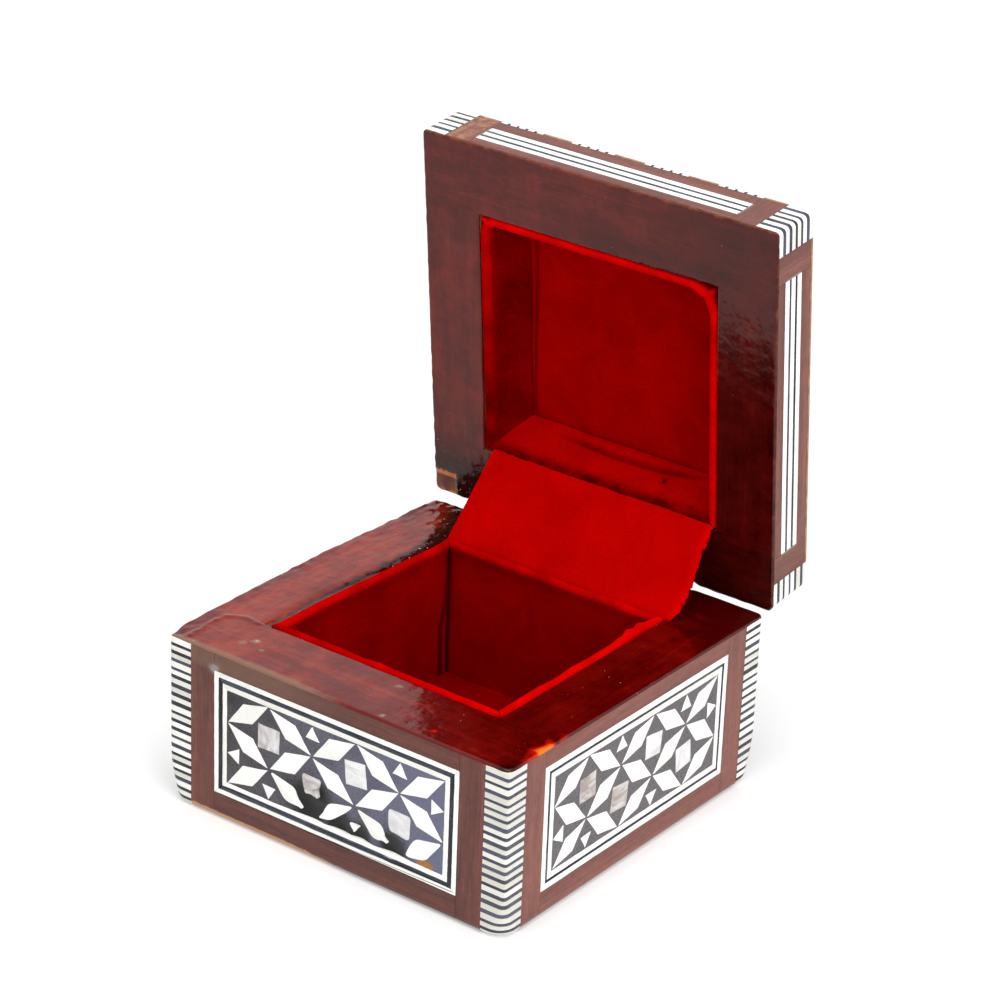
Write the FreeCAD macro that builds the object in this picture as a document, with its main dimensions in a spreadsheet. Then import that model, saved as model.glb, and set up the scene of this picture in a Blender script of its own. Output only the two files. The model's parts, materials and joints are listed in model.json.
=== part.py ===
import FreeCAD, Part
import math
import os
import Sketcher
from FreeCAD import Placement, Rotation, Vector

# Small square box of inlaid wood with a hinged lid and a velvet lining, in millimetres.
# Origin: middle of the underside. X runs along the front, Y from front to back, Z up.
# The lid is drawn closed about its hinge axis and then turned open.

# Driving sizes
SIZES = [
    ("box_width", 75, "base, left to right"),
    ("box_depth", 75, "base, front to back"),
    ("base_height", 33.2, "table to the rim of the base"),
    ("bottom_thickness", 4.6, "bottom board"),
    ("skin_thickness", 1.2, "veneer and inlay layer of the sides"),
    ("top_skin", 2.1, "veneer and inlay layer on top of the lid"),
    ("core_thickness", 11.2, "wood of the walls and lid rails under the skin"),
    ("front_extra", 1.3, "how much thicker the front wall and front rail are"),
    ("lining_thickness", 1.2, "velvet on its card"),
    ("lining_drop", 0.4, "rim to the edge of the lining"),
    ("lining_roll", 0.5, "rounding of the lining's edge"),
    ("rim_cap", 0.5, "rim veneer, as thick as a hinge leaf"),
    ("bottom_round", 1.5, "rounding under the base"),
    ("lid_width", 77.2, "lid, left to right"),
    ("lid_depth", 74.6, "lid, front to back"),
    ("lid_height", 13, "rim of the lid to its top"),
    ("lid_board", 2, "top board of the lid"),
    ("lid_top_round", 3, "rounding round the top of the lid"),
    ("lid_edge_round", 1.2, "rounded upright corners of the lid"),
    ("lid_lining_spread", 4.4, "how far the lid's lining leans in at the ceiling"),
    ("rim_gap", 0.5, "gap between the closed rims"),
    ("axis_back", 0.9, "hinge axis behind the back face"),
    ("axis_drop", 0.3, "hinge axis below the middle of the rim gap"),
    ("lid_open_angle", 84.6, "lid turned open, in degrees"),
    ("panel_side", 10.35, "upright edge of a side to the panel's frame"),
    ("panel_top", 3.75, "rim to the panel's frame"),
    ("panel_foot", 5.2, "underside to the panel's frame"),
    ("string_bone", 1.1, "bone line of a frame"),
    ("string_dark", 0.7, "dark line of a frame"),
    ("cell_width", 9.7, "lattice cell across, before whole cells are fitted"),
    ("cell_height", 6.15, "lattice cell up a side, before whole cells are fitted"),
    ("top_cell_height", 8, "lattice cell up the top panel, before whole cells are fitted"),
    ("tip_gap", 0.35, "rhombus tip to its lattice point"),
    ("rhombus_width", 4.1, "short diagonal of a rhombus"),
    ("pearl_side", 4.8, "side of a pearl square"),
    ("triangle_base", 3.2, "inner edge of a bone triangle"),
    ("triangle_height", 2.6, "inner edge to tip of a bone triangle"),
    ("triangle_gap", 0.25, "tip of a bone triangle to the frame"),
    ("inlay_gap", 0.02, "glue line round each inlaid piece"),
    ("corner_width", 4.9, "corner slips along each face"),
    ("slip_bone", 1.1, "bone slip"),
    ("slip_dark", 0.55, "dark slip"),
    ("line_start", 2.6, "lid rim to the line inlay"),
    ("line_inset", 10.3, "upright edge of the lid to the line inlay"),
    ("line_bone", 1.25, "bone line on the lid's sides"),
    ("line_dark", 0.6, "dark line on the lid's sides"),
    ("border_width", 5.5, "blocks of slips round the top of the lid"),
    ("border_bone", 1.4, "bone slip of a block"),
    ("border_dark", 0.6, "dark slip of a block"),
    ("border_inner", 8, "middle of the lid to the inner blocks"),
    ("border_outer", 23.8, "middle of the lid to the outer blocks"),
    ("top_panel_inset", 10.2, "edge of the lid to the top panel's frame"),
    ("hinge_spread", 11.4, "middle of the box to a hinge"),
    ("hinge_length", 14, "hinge along its axis"),
    ("middle_knuckle", 5, "lid knuckle of a hinge"),
    ("knuckle_gap", 0.15, "between two knuckles"),
    ("knuckle_radius", 0.8, "outside of a knuckle"),
    ("pin_radius", 0.4, "hinge pin"),
    ("pin_play", 0.05, "running clearance round the pin"),
    ("leaf_depth", 5, "hinge leaf across the rim"),
    ("nail_side", 0.8, "square hinge nail"),
    ("nail_length", 5, "hinge nail, leaf included"),
    ("nail_spread", 4.6, "middle of a hinge to a nail"),
    ("nail_inset", 2.6, "back face to a nail"),
    ("nail_fit", 0.02, "clearance round a nail"),
    ("stay_side_gap", 0.3, "velvet stay to the lining on each side"),
    ("stay_thickness", 0.9, "velvet stay"),
    ("stay_bend", 0.3, "rim to the bend of the stay"),
    ("soft_gap", 0.1, "stay to the lining that it is sewn to"),
]
BLOCK_DARK_SLIPS = 4
LID_DARK_LINES = 2
SIDES = ["front", "right", "back", "left"]

doc = FreeCAD.newDocument("inlaid_box")
sheet = doc.addObject("Spreadsheet::Sheet", "sizes")
for row, (alias, number, note) in enumerate(SIZES, start=1):
    sheet.set(f"A{row}", note)
    sheet.set(f"B{row}", str(number))
    sheet.setAlias(f"B{row}", alias)
doc.recompute()

# Sizes worked out from the sheet, as expressions
HALF_WIDTH = "sizes.box_width / 2"
HALF_DEPTH = "sizes.box_depth / 2"
RIM = "sizes.base_height"
WALL_TOP = "(sizes.base_height - sizes.rim_cap)"
SKIN = "sizes.skin_thickness"
WOOD_FACE = "(sizes.skin_thickness + sizes.core_thickness)"
LINING_FACE = "(sizes.skin_thickness + sizes.core_thickness + sizes.lining_thickness)"
FLOOR = "(sizes.bottom_thickness + sizes.lining_thickness)"
AXIS_Y = "(sizes.box_depth / 2 + sizes.axis_back)"
AXIS_Z = "(sizes.base_height + sizes.rim_gap / 2 - sizes.axis_drop)"
LID_RIM = "(sizes.rim_gap / 2 + sizes.axis_drop)"
LID_RAIL_FOOT = f"({LID_RIM} + sizes.rim_cap)"
LID_SKIN_FOOT = f"({LID_RIM} + sizes.lid_height - sizes.top_skin)"
LID_BOARD_FOOT = f"({LID_SKIN_FOOT} - sizes.lid_board)"
LID_CEILING = f"({LID_BOARD_FOOT} - sizes.lining_thickness)"
LINING_EDGE = "(sizes.base_height - sizes.lining_drop)"
LID_LINING_EDGE = f"({LID_RIM} + sizes.lining_drop)"

# Half width, front face and back face of the base, and of the lid about its axis
BASE_AREA = (HALF_WIDTH, f"-{HALF_DEPTH}", HALF_DEPTH)
LID_HALF = "sizes.lid_width / 2"
LID_FRONT = "(-sizes.axis_back - sizes.lid_depth)"
LID_BACK = "(-sizes.axis_back)"
LID_AREA = (LID_HALF, LID_FRONT, LID_BACK)

# The same for the room inside them, whose front wall is thicker
BASE_ROOM = (HALF_WIDTH, f"(sizes.front_extra - {HALF_DEPTH})", HALF_DEPTH)
LID_ROOM_FRONT = f"({LID_FRONT} + sizes.front_extra)"
LID_ROOM = (LID_HALF, LID_ROOM_FRONT, LID_BACK)

nodes = []


def value(expression):
    return float(sheet.evalExpression(str(expression)))


def keep(item, label):
    item.Label = label
    nodes.append(item)
    return item


def open_lid(item):
    item.Placement = Placement(Vector(), Rotation(Vector(-1, 0, 0), value("sizes.lid_open_angle")))
    item.setExpression("Placement.Base.y", AXIS_Y)
    item.setExpression("Placement.Base.z", AXIS_Z)
    item.setExpression("Placement.Rotation.Angle", "sizes.lid_open_angle")
    return item


# Sketches and features
def new_body(name):
    return doc.addObject("PartDesign::Body", name)


def add_sketch(body, role, offset):
    sketch = body.newObject("Sketcher::SketchObject", f"{body.Name}_sketch")
    plane = next(item for item in body.Origin.OriginFeatures if item.Role == role)
    sketch.AttachmentSupport = [(plane, "")]
    sketch.MapMode = "FlatFace"
    sketch.setExpression("AttachmentOffset.Base.z", offset)
    return sketch


def bind_point(sketch, geometry, end, point):
    for kind, expression in zip(("DistanceX", "DistanceY"), point):
        datum = Sketcher.Constraint(kind, -1, 1, geometry, end, value(expression))
        sketch.setExpression(f"Constraints[{sketch.addConstraint(datum)}]", expression)


def add_ring(sketch, points):
    first = sketch.GeometryCount
    count = len(points)
    places = [Vector(value(x), value(y), 0) for x, y in points]
    for index in range(count):
        sketch.addGeometry(Part.LineSegment(places[index], places[(index + 1) % count]), False)
    for index in range(count):
        follower = first + (index + 1) % count
        sketch.addConstraint(Sketcher.Constraint("Coincident", first + index, 2, follower, 1))
    for index, point in enumerate(points):
        bind_point(sketch, first + index, 1, point)


def add_circle(sketch, centre, radius):
    place = Vector(value(centre[0]), value(centre[1]), 0)
    circle = sketch.addGeometry(Part.Circle(place, Vector(0, 0, 1), value(radius)), False)
    bind_point(sketch, circle, 3, centre)
    datum = Sketcher.Constraint("Radius", circle, value(radius))
    sketch.setExpression(f"Constraints[{sketch.addConstraint(datum)}]", radius)


def add_feature(body, kind, sketch, length, reverse=False):
    feature = body.newObject(f"PartDesign::{kind}", f"{body.Name}_{kind.lower()}")
    feature.Profile = sketch
    feature.setExpression("Length", length)
    feature.Reversed = reverse
    return feature


def pad_rings(body, role, rings, offset, length):
    sketch = add_sketch(body, role, offset)
    for ring in rings:
        add_ring(sketch, ring)
    return add_feature(body, "Pad", sketch, length)


def pad_circles(body, role, circles, offset, length):
    sketch = add_sketch(body, role, offset)
    for centre, radius in circles:
        add_circle(sketch, centre, radius)
    return add_feature(body, "Pad", sketch, length)


def pocket_rings(body, role, rings, offset, depth, reverse=False):
    sketch = add_sketch(body, role, offset)
    for ring in rings:
        add_ring(sketch, ring)
    return add_feature(body, "Pocket", sketch, depth, reverse)


def pocket_circles(body, role, circles, offset, depth, reverse=False):
    sketch = add_sketch(body, role, offset)
    for centre, radius in circles:
        add_circle(sketch, centre, radius)
    return add_feature(body, "Pocket", sketch, depth, reverse)


def round_edges(body, size, chosen):
    doc.recompute()
    base = body.Tip
    names = [f"Edge{index}" for index, edge in enumerate(base.Shape.Edges, start=1) if chosen(edge)]
    feature = body.newObject("PartDesign::Fillet", f"{body.Name}_fillet")
    feature.Base = (base, names)
    feature.setExpression("Radius", size)
    return feature


def common(name, first, second):
    feature = doc.addObject("Part::Common", name)
    feature.Base = first
    feature.Tool = second
    return feature


# Plan outlines
def corners(area, inset):
    half, front, back = area
    x = f"({half} - {inset})"
    y_front = f"({front} + {inset})"
    y_back = f"({back} - {inset})"
    return [(f"-{x}", y_front), (x, y_front), (x, y_back), (f"-{x}", y_back)]


def mitred(outer, inner, index):
    follower = (index + 1) % len(outer)
    return [outer[index], outer[follower], inner[follower], inner[index]]


def notched(area, inset):
    """Plan outline with a square rebate for the corner slips, three points to a corner."""
    points = []
    for index, (outer, slips) in enumerate(zip(corners(area, inset), corners(area, "sizes.corner_width"))):
        turn = [(outer[0], slips[1]), slips, (slips[0], outer[1])]
        points += turn if index % 2 == 0 else turn[::-1]
    return points


def rebated(outer, inner, index):
    """One mitred wall between a notched outline and a plain inner one."""
    follower = (index + 1) % len(inner)
    start = 3 * index
    end = 3 * follower
    return outer[start + 1:start + 3] + outer[end:end + 2] + [inner[follower], inner[index]]


def rectangle(x_low, x_high, y_low, y_high):
    return [(x_low, y_low), (x_high, y_low), (x_high, y_high), (x_low, y_high)]


# Outer form: the plan, and the two elevations with their rounded edges
def runs_along(edge, axis):
    spread = edge.Vertexes[-1].Point - edge.Vertexes[0].Point
    return edge.Length > 0 and abs(spread.dot(axis)) > 0.99 * edge.Length


def outer_form(name, area, foot, height, round_size, round_top):
    round_level = value(f"{foot} + {height}") if round_top else value(foot)

    def rounded(edge, axis):
        return runs_along(edge, axis) and abs(edge.CenterOfMass.z - round_level) < 1e-6

    side = new_body(f"{name}_side")
    pad_rings(side, "XY_Plane", [corners(area, "0")], foot, height)
    round_edges(side, round_size, lambda edge: rounded(edge, Vector(1, 0, 0)))
    end = new_body(f"{name}_end")
    pad_rings(end, "XY_Plane", [corners(area, "0")], foot, height)
    round_edges(end, round_size, lambda edge: rounded(edge, Vector(0, 1, 0)))
    return common(name, side, end)


base_form = outer_form("base_form", BASE_AREA, "0", RIM, "sizes.bottom_round", False)
lid_block = outer_form("lid_block", LID_AREA, LID_RIM, "sizes.lid_height", "sizes.lid_top_round", True)
lid_plan = new_body("lid_plan")
pad_rings(lid_plan, "XY_Plane", [corners(LID_AREA, "0")], LID_RIM, "sizes.lid_height")
round_edges(lid_plan, "sizes.lid_edge_round", lambda edge: runs_along(edge, Vector(0, 0, 1)))
lid_form = common("lid_form", lid_block, lid_plan)
doc.recompute()


# Hinges: plan places that the rims, leaves, nails and walls share
HINGE_NEAR = "(sizes.hinge_spread - sizes.hinge_length / 2)"
HINGE_FAR = "(sizes.hinge_spread + sizes.hinge_length / 2)"
KNUCKLE_NEAR = "(sizes.hinge_spread - sizes.middle_knuckle / 2)"
KNUCKLE_FAR = "(sizes.hinge_spread + sizes.middle_knuckle / 2)"
OUTER_KNUCKLE = f"({HINGE_FAR} - {KNUCKLE_FAR} - sizes.knuckle_gap)"
NAIL_NEAR = "(sizes.hinge_spread - sizes.nail_spread)"
NAIL_FAR = "(sizes.hinge_spread + sizes.nail_spread)"
NAIL_HOLE = "(sizes.nail_side + 2 * sizes.nail_fit)"
NAIL_IN_WOOD = "(sizes.nail_length - sizes.rim_cap + sizes.nail_fit)"


def nail_rings(back, side):
    y = f"{back} - sizes.nail_inset"
    rings = []
    for x in (NAIL_NEAR, NAIL_FAR, f"-{NAIL_NEAR}", f"-{NAIL_FAR}"):
        across = (f"({x} - {side} / 2)", f"({x} + {side} / 2)")
        rings.append(rectangle(*across, f"({y} - {side} / 2)", f"({y} + {side} / 2)"))
    return rings


def leaf_rings(back):
    inner = f"({back} - sizes.leaf_depth)"
    right = rectangle(HINGE_NEAR, HINGE_FAR, inner, back)
    left = rectangle(f"-{HINGE_FAR}", f"-{HINGE_NEAR}", inner, back)
    return [right, left]


# Walls, boards and rims
def ring_of_walls(name, joint, outer, inner, foot, height):
    walls = {}
    for index, side in enumerate(SIDES):
        wall = new_body(f"{name}_{side}")
        pad_rings(wall, "XY_Plane", [joint(outer, inner, index)], foot, height)
        walls[side] = keep(wall, f"{name}_{side}")
    return walls


def rim_veneer(name, area, room, foot, leaf_face, reverse, form):
    ring = new_body(f"{name}_ring")
    pad_rings(ring, "XY_Plane", [corners(area, "0"), corners(room, WOOD_FACE)], foot, "sizes.rim_cap")
    pocket_rings(ring, "XY_Plane", leaf_rings(area[2]), leaf_face, "sizes.rim_cap", reverse)
    return keep(common(name, ring, form), name)


def flat_board(name, outline, foot, thickness):
    board = new_body(name)
    pad_rings(board, "XY_Plane", [outline], foot, thickness)
    return board


base_walls = ring_of_walls(
    "base_wall", rebated, notched(BASE_AREA, SKIN), corners(BASE_ROOM, WOOD_FACE),
    "sizes.bottom_thickness", f"({WALL_TOP} - sizes.bottom_thickness)")
pocket_rings(base_walls["back"], "XY_Plane", nail_rings(HALF_DEPTH, NAIL_HOLE), WALL_TOP, NAIL_IN_WOOD)
bottom_blank = flat_board("bottom_blank", notched(BASE_AREA, SKIN), "0", "sizes.bottom_thickness")
keep(common("base_bottom_board", bottom_blank, base_form), "base_bottom_board")
rim_veneer("base_rim_veneer", BASE_AREA, BASE_ROOM, WALL_TOP, RIM, False, base_form)

lid_rails = ring_of_walls(
    "lid_rail", rebated, notched(LID_AREA, SKIN), corners(LID_ROOM, WOOD_FACE),
    LID_RAIL_FOOT, f"({LID_BOARD_FOOT} - {LID_RAIL_FOOT})")
pocket_rings(
    lid_rails["back"], "XY_Plane", nail_rings(LID_BACK, NAIL_HOLE), LID_RAIL_FOOT, NAIL_IN_WOOD, True)
for rail in lid_rails.values():
    open_lid(rail)
lid_board = flat_board("lid_top_board", notched(LID_AREA, SKIN), LID_BOARD_FOOT, "sizes.lid_board")
keep(open_lid(lid_board), "lid_top_board")
open_lid(rim_veneer("lid_rim_veneer", LID_AREA, LID_ROOM, LID_RIM, LID_RIM, True, lid_form))


# Velvet lining: padded panels, rolled at the rim of the base and leaning in towards the lid's ceiling
def roll_edge(body, level):
    doc.recompute()
    spot = Vector(0, 0, value(level))
    flat = [edge.CenterOfMass for edge in body.Tip.Shape.Edges if abs(edge.CenterOfMass.z - spot.z) < 1e-6]
    nearest = min(flat, key=spot.distanceToPoint)
    round_edges(body, "sizes.lining_roll", lambda edge: edge.CenterOfMass.isEqual(nearest, 1e-6))


floor_pad = flat_board(
    "base_lining_floor", corners(BASE_ROOM, WOOD_FACE), "sizes.bottom_thickness", "sizes.lining_thickness")
keep(floor_pad, "base_lining_floor")
base_linings = ring_of_walls(
    "base_lining", mitred, corners(BASE_ROOM, WOOD_FACE), corners(BASE_ROOM, LINING_FACE),
    FLOOR, f"({LINING_EDGE} - {FLOOR})")
for lining in base_linings.values():
    roll_edge(lining, LINING_EDGE)

ceiling_pad = flat_board(
    "lid_lining_ceiling", corners(LID_ROOM, WOOD_FACE), LID_CEILING, "sizes.lining_thickness")
keep(open_lid(ceiling_pad), "lid_lining_ceiling")
LEANING_FACE = f"({LINING_FACE} + sizes.lid_lining_spread)"
lid_linings = ring_of_walls(
    "lid_lining", mitred, corners(LID_ROOM, WOOD_FACE), corners(LID_ROOM, LEANING_FACE),
    LID_LINING_EDGE, f"({LID_CEILING} - {LID_LINING_EDGE})")


def lean(lining, plane, offset, length, face):
    """Cut the lining back to its edge thickness at the rim, along a slope from the ceiling."""
    slope = [
        (face(LINING_FACE), LID_LINING_EDGE),
        (face(LEANING_FACE), LID_LINING_EDGE),
        (face(LEANING_FACE), LID_CEILING),
    ]
    pocket_rings(lining, plane, [slope], offset, length, True)
    open_lid(lining)


LID_REACH = "(sizes.axis_back + sizes.lid_depth)"
ALONG_FRONT = ("YZ_Plane", f"-{LID_HALF}", "sizes.lid_width")
ALONG_SIDE = ("XZ_Plane", "0", LID_REACH)
lean(lid_linings["front"], *ALONG_FRONT, lambda inset: f"({LID_ROOM_FRONT} + {inset})")
lean(lid_linings["back"], *ALONG_FRONT, lambda inset: f"({LID_BACK} - {inset})")
lean(lid_linings["right"], *ALONG_SIDE, lambda inset: f"({LID_HALF} - {inset})")
lean(lid_linings["left"], *ALONG_SIDE, lambda inset: f"({inset} - {LID_HALF})")


# Velvet stay between the two linings, pulled tight by the open lid
def opened(y, z):
    turned_y = f"{AXIS_Y} + ({y}) * cos(sizes.lid_open_angle) + ({z}) * sin(sizes.lid_open_angle)"
    turned_z = f"{AXIS_Z} - ({y}) * sin(sizes.lid_open_angle) + ({z}) * cos(sizes.lid_open_angle)"
    return (turned_y, turned_z)


STAY_HALF = f"(min(sizes.box_width; sizes.lid_width) / 2 - {LINING_FACE} - sizes.stay_side_gap)"
STAY_INSET = "(sizes.lining_thickness - sizes.stay_thickness) / 2"
STAY_FRONT = f"({HALF_DEPTH} - {LINING_FACE} + {STAY_INSET})"
STAY_BACK = f"({STAY_FRONT} + sizes.stay_thickness)"
STAY_FOOT = f"({LINING_EDGE} + sizes.soft_gap)"
STAY_BEND = f"({RIM} + sizes.stay_bend)"
LID_STAY_FRONT = f"(-sizes.axis_back - {LINING_FACE} + {STAY_INSET})"
LID_STAY_BACK = f"({LID_STAY_FRONT} + sizes.stay_thickness)"
LID_STAY_FOOT = f"({LID_LINING_EDGE} - sizes.soft_gap)"
LID_STAY_BEND = f"({LID_RIM} - sizes.stay_bend)"
stay = new_body("velvet_stay")
stay_ring = [
    (STAY_BACK, STAY_FOOT),
    (STAY_BACK, STAY_BEND),
    opened(LID_STAY_BACK, LID_STAY_BEND),
    opened(LID_STAY_BACK, LID_STAY_FOOT),
    opened(LID_STAY_FRONT, LID_STAY_FOOT),
    opened(LID_STAY_FRONT, f"{LID_STAY_BEND} - sizes.stay_thickness / 2"),
    (STAY_FRONT, f"{STAY_BEND} + sizes.stay_thickness / 2"),
    (STAY_FRONT, STAY_FOOT),
]
pad_rings(stay, "YZ_Plane", [stay_ring], f"-{STAY_HALF}", f"2 * {STAY_HALF}")
keep(stay, "velvet_stay")


# Butt hinges: the base leaf has the outer knuckles and holds the pin, the lid leaf turns on it
def mirror_hinge(body):
    doc.recompute()
    mirror = body.newObject("PartDesign::Mirrored", f"{body.Name}_mirror")
    kinds = ("PartDesign::Pad", "PartDesign::Pocket")
    mirror.Originals = [item for item in body.Group if item.TypeId in kinds]
    plane = next(item for item in body.Origin.OriginFeatures if item.Role == "YZ_Plane")
    mirror.MirrorPlane = (plane, [""])
    body.Tip = mirror


def hinge_leaf(name, back, foot, axis, arms, bore):
    leaf = new_body(name)
    inner = f"({back} - sizes.leaf_depth)"
    pad_rings(leaf, "XY_Plane", [rectangle(HINGE_NEAR, HINGE_FAR, inner, back)], foot, "sizes.rim_cap")
    for start, length in arms:
        arm = rectangle(start, f"({start} + {length})", inner, axis[0])
        pad_rings(leaf, "XY_Plane", [arm], foot, "sizes.rim_cap")
        pad_circles(leaf, "YZ_Plane", [(axis, "sizes.knuckle_radius")], start, length)
    pocket_circles(leaf, "YZ_Plane", [(axis, bore)], HINGE_NEAR, "sizes.hinge_length", True)
    nails = nail_rings(back, NAIL_HOLE)[:2]
    pocket_rings(leaf, "XY_Plane", nails, f"({foot} + sizes.rim_cap)", "sizes.rim_cap")
    mirror_hinge(leaf)
    return leaf


BASE_ARMS = [(HINGE_NEAR, OUTER_KNUCKLE), (f"({HINGE_FAR} - {OUTER_KNUCKLE})", OUTER_KNUCKLE)]
LID_ARMS = [(KNUCKLE_NEAR, "sizes.middle_knuckle")]
base_leaves = hinge_leaf(
    "hinge_base_leaves", HALF_DEPTH, WALL_TOP, (AXIS_Y, AXIS_Z), BASE_ARMS, "sizes.pin_radius")
keep(base_leaves, "hinge_base_leaves")
lid_leaves = hinge_leaf(
    "hinge_lid_leaves", LID_BACK, LID_RIM, ("0", "0"), LID_ARMS, "(sizes.pin_radius + sizes.pin_play)")
keep(open_lid(lid_leaves), "hinge_lid_leaves")

pins = new_body("hinge_pins")
pad_circles(pins, "YZ_Plane", [((AXIS_Y, AXIS_Z), "sizes.pin_radius")], HINGE_NEAR, "sizes.hinge_length")
mirror_hinge(pins)
keep(pins, "hinge_pins")

base_nails = new_body("hinge_base_nails")
NAIL_FOOT = f"({RIM} - sizes.nail_length)"
base_nail_rings = nail_rings(HALF_DEPTH, "sizes.nail_side")
pad_rings(base_nails, "XY_Plane", base_nail_rings, NAIL_FOOT, "sizes.nail_length")
keep(base_nails, "hinge_base_nails")
lid_nails = new_body("hinge_lid_nails")
lid_nail_rings = nail_rings(LID_BACK, "sizes.nail_side")
pad_rings(lid_nails, "XY_Plane", lid_nail_rings, LID_RIM, "sizes.nail_length")
keep(open_lid(lid_nails), "hinge_lid_nails")
doc.recompute()

# Marquetry: flat pieces drawn on a face and let into the skin.
# On a face, u runs to the right and v up, seen from outside.
skin = value(SKIN)
top_skin = value("sizes.top_skin")
gap = value("sizes.inlay_gap")


def wire(points):
    places = [Vector(u, v, 0) for u, v in points]
    return Part.makePolygon(places + places[:1])


def tile(points, depth, holes=()):
    face = Part.makeFace([wire(points)] + [wire(hole) for hole in holes], "Part::FaceMakerBullseye")
    return face.extrude(Vector(0, 0, -depth))


def tiles(outlines, depth):
    return [tile(points, depth) for points in outlines]


def box_points(box):
    u_low, v_low, u_high, v_high = box
    return rectangle(u_low, u_high, v_low, v_high)


def shrink(box, amount):
    u_low, v_low, u_high, v_high = box
    return (u_low + amount, v_low + amount, u_high - amount, v_high - amount)


def frame_strips(box, width):
    outer = box_points(box)
    inner = box_points(shrink(box, width))
    return [mitred(outer, inner, index) for index in range(len(outer))]


def grow(points, amount):
    """Outline of a convex piece moved out by amount, its points running anticlockwise."""
    places = [Vector(u, v, 0) for u, v in points]
    grown = []
    for index, place in enumerate(places):
        into = (place - places[index - 1]).normalize()
        out = (places[(index + 1) % len(places)] - place).normalize()
        turn = math.atan2(into.cross(out).z, into.dot(out))
        reach = amount / math.cos(turn / 2)
        middle = Vector(into.y + out.y, -into.x - out.x, 0).normalize()
        grown.append((place.x + middle.x * reach, place.y + middle.y * reach))
    return grown


def rhombus(start, end):
    middle = (start + end) * 0.5
    along = (end - start).normalize()
    across = Vector(-along.y, along.x, 0) * value("sizes.rhombus_width / 2")
    tip = along * ((end - start).Length / 2 - value("sizes.tip_gap"))
    return [(point.x, point.y) for point in (middle - tip, middle - across, middle + tip, middle + across)]


def triangle(node, outward):
    tip = node - outward * value("sizes.triangle_gap")
    foot = tip - outward * value("sizes.triangle_height")
    across = Vector(-outward.y, outward.x, 0) * value("sizes.triangle_base / 2")
    return [(point.x, point.y) for point in (tip, foot + across, foot - across)]


def square(node):
    half = value("sizes.pearl_side / 2")
    return rectangle(node.x - half, node.x + half, node.y - half, node.y + half)


def lattice(box, cell_height):
    """Bone and pearl outlines of a lattice: rhombi tip to tip, with pearl squares in their rings."""
    u_low, v_low, u_high, v_high = box
    columns = max(1, round((u_high - u_low) / value("sizes.cell_width")))
    rows = max(1, round((v_high - v_low) / value(cell_height)))
    step_u = (u_high - u_low) / columns
    step_v = (v_high - v_low) / rows

    def node(column, row):
        return Vector(u_low + step_u * column, v_low + step_v * row, 0)

    bone = []
    pearl = []
    for column in range(columns):
        for row in range(rows):
            if (column + row) % 2 == 0:
                bone.append(rhombus(node(column, row), node(column + 1, row + 1)))
            else:
                bone.append(rhombus(node(column + 1, row), node(column, row + 1)))
    for column in range(columns + 1):
        for row in range(rows + 1):
            at_side = column in (0, columns)
            at_end = row in (0, rows)
            if (column + row) % 2 == 0 or (at_side and at_end):
                continue
            if at_side:
                bone.append(triangle(node(column, row), Vector(1 if column else -1, 0, 0)))
            elif at_end:
                bone.append(triangle(node(column, row), Vector(0, 1 if row else -1, 0)))
            else:
                pearl.append(square(node(column, row)))
    return bone, pearl


def panel(box, cell_height, depth):
    """Pieces of one framed panel, by kind."""
    bone_line = value("sizes.string_bone")
    dark_line = value("sizes.string_dark")
    dark_box = shrink(box, bone_line)
    inner_box = shrink(dark_box, dark_line)
    field = shrink(inner_box, bone_line)
    bone, pearl = lattice(field, cell_height)
    holes = [grow(points, gap) for points in bone + pearl]
    return {
        "string_bone": tiles(frame_strips(box, bone_line) + frame_strips(inner_box, bone_line), depth),
        "string_dark": tiles(frame_strips(dark_box, dark_line), depth),
        "ground": [tile(box_points(field), depth, holes)],
        "bone": tiles(bone, depth),
        "pearl": tiles(pearl, depth),
    }


def bordered(outer, inner):
    """Two upright stiles and two rails between them, round the inner box."""
    u_low, v_low, u_high, v_high = outer
    a_low, b_low, a_high, b_high = inner
    strips = [
        (u_low, v_low, a_low, v_high),
        (a_high, v_low, u_high, v_high),
        (a_low, v_low, a_high, b_low),
        (a_low, b_high, a_high, v_high),
    ]
    return tiles([box_points(strip) for strip in strips], skin)


def side_face(index, half_span, middle):
    """From drawing plane to a side face: front, right, back and left in turn."""
    upright = Placement(Vector(0, -half_span, 0), Rotation(Vector(1, 0, 0), 90))
    turn = Placement(Vector(0, middle, 0), Rotation(Vector(0, 0, 1), 90 * index))
    return turn.multiply(upright)


def place(shapes, placement):
    moved = []
    for shape in shapes:
        copy = shape.copy()
        copy.Placement = placement
        moved.append(copy)
    return moved


def keep_pieces(label, shapes, lid=False):
    node = doc.addObject("Part::Feature", label)
    node.Shape = Part.makeCompound(shapes)
    if lid:
        open_lid(node)
    return keep(node, label)


def trim(shapes, form):
    solids = []
    for shape in shapes:
        solids.extend(shape.common(form).Solids)
    return solids


# Lid outline for its top and its many small slips, with flats that touch the roundings in place of arcs
FLAT_TURN = math.radians(30)


def turned_by_flats(low, high, foot, top, size):
    """Elevation whose two upper corners are turned by flats."""
    reach = size / math.cos(FLAT_TURN / 2)
    angles = [FLAT_TURN * step for step in (0.5, 1.5, 2.5)]
    turn = [(size - reach * math.cos(angle), size - reach * math.sin(angle)) for angle in angles]
    right = [(high - inset, top - drop) for inset, drop in turn]
    left = [(low + inset, top - drop) for inset, drop in reversed(turn)]
    return [(low, foot), (high, foot)] + right + left


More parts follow.
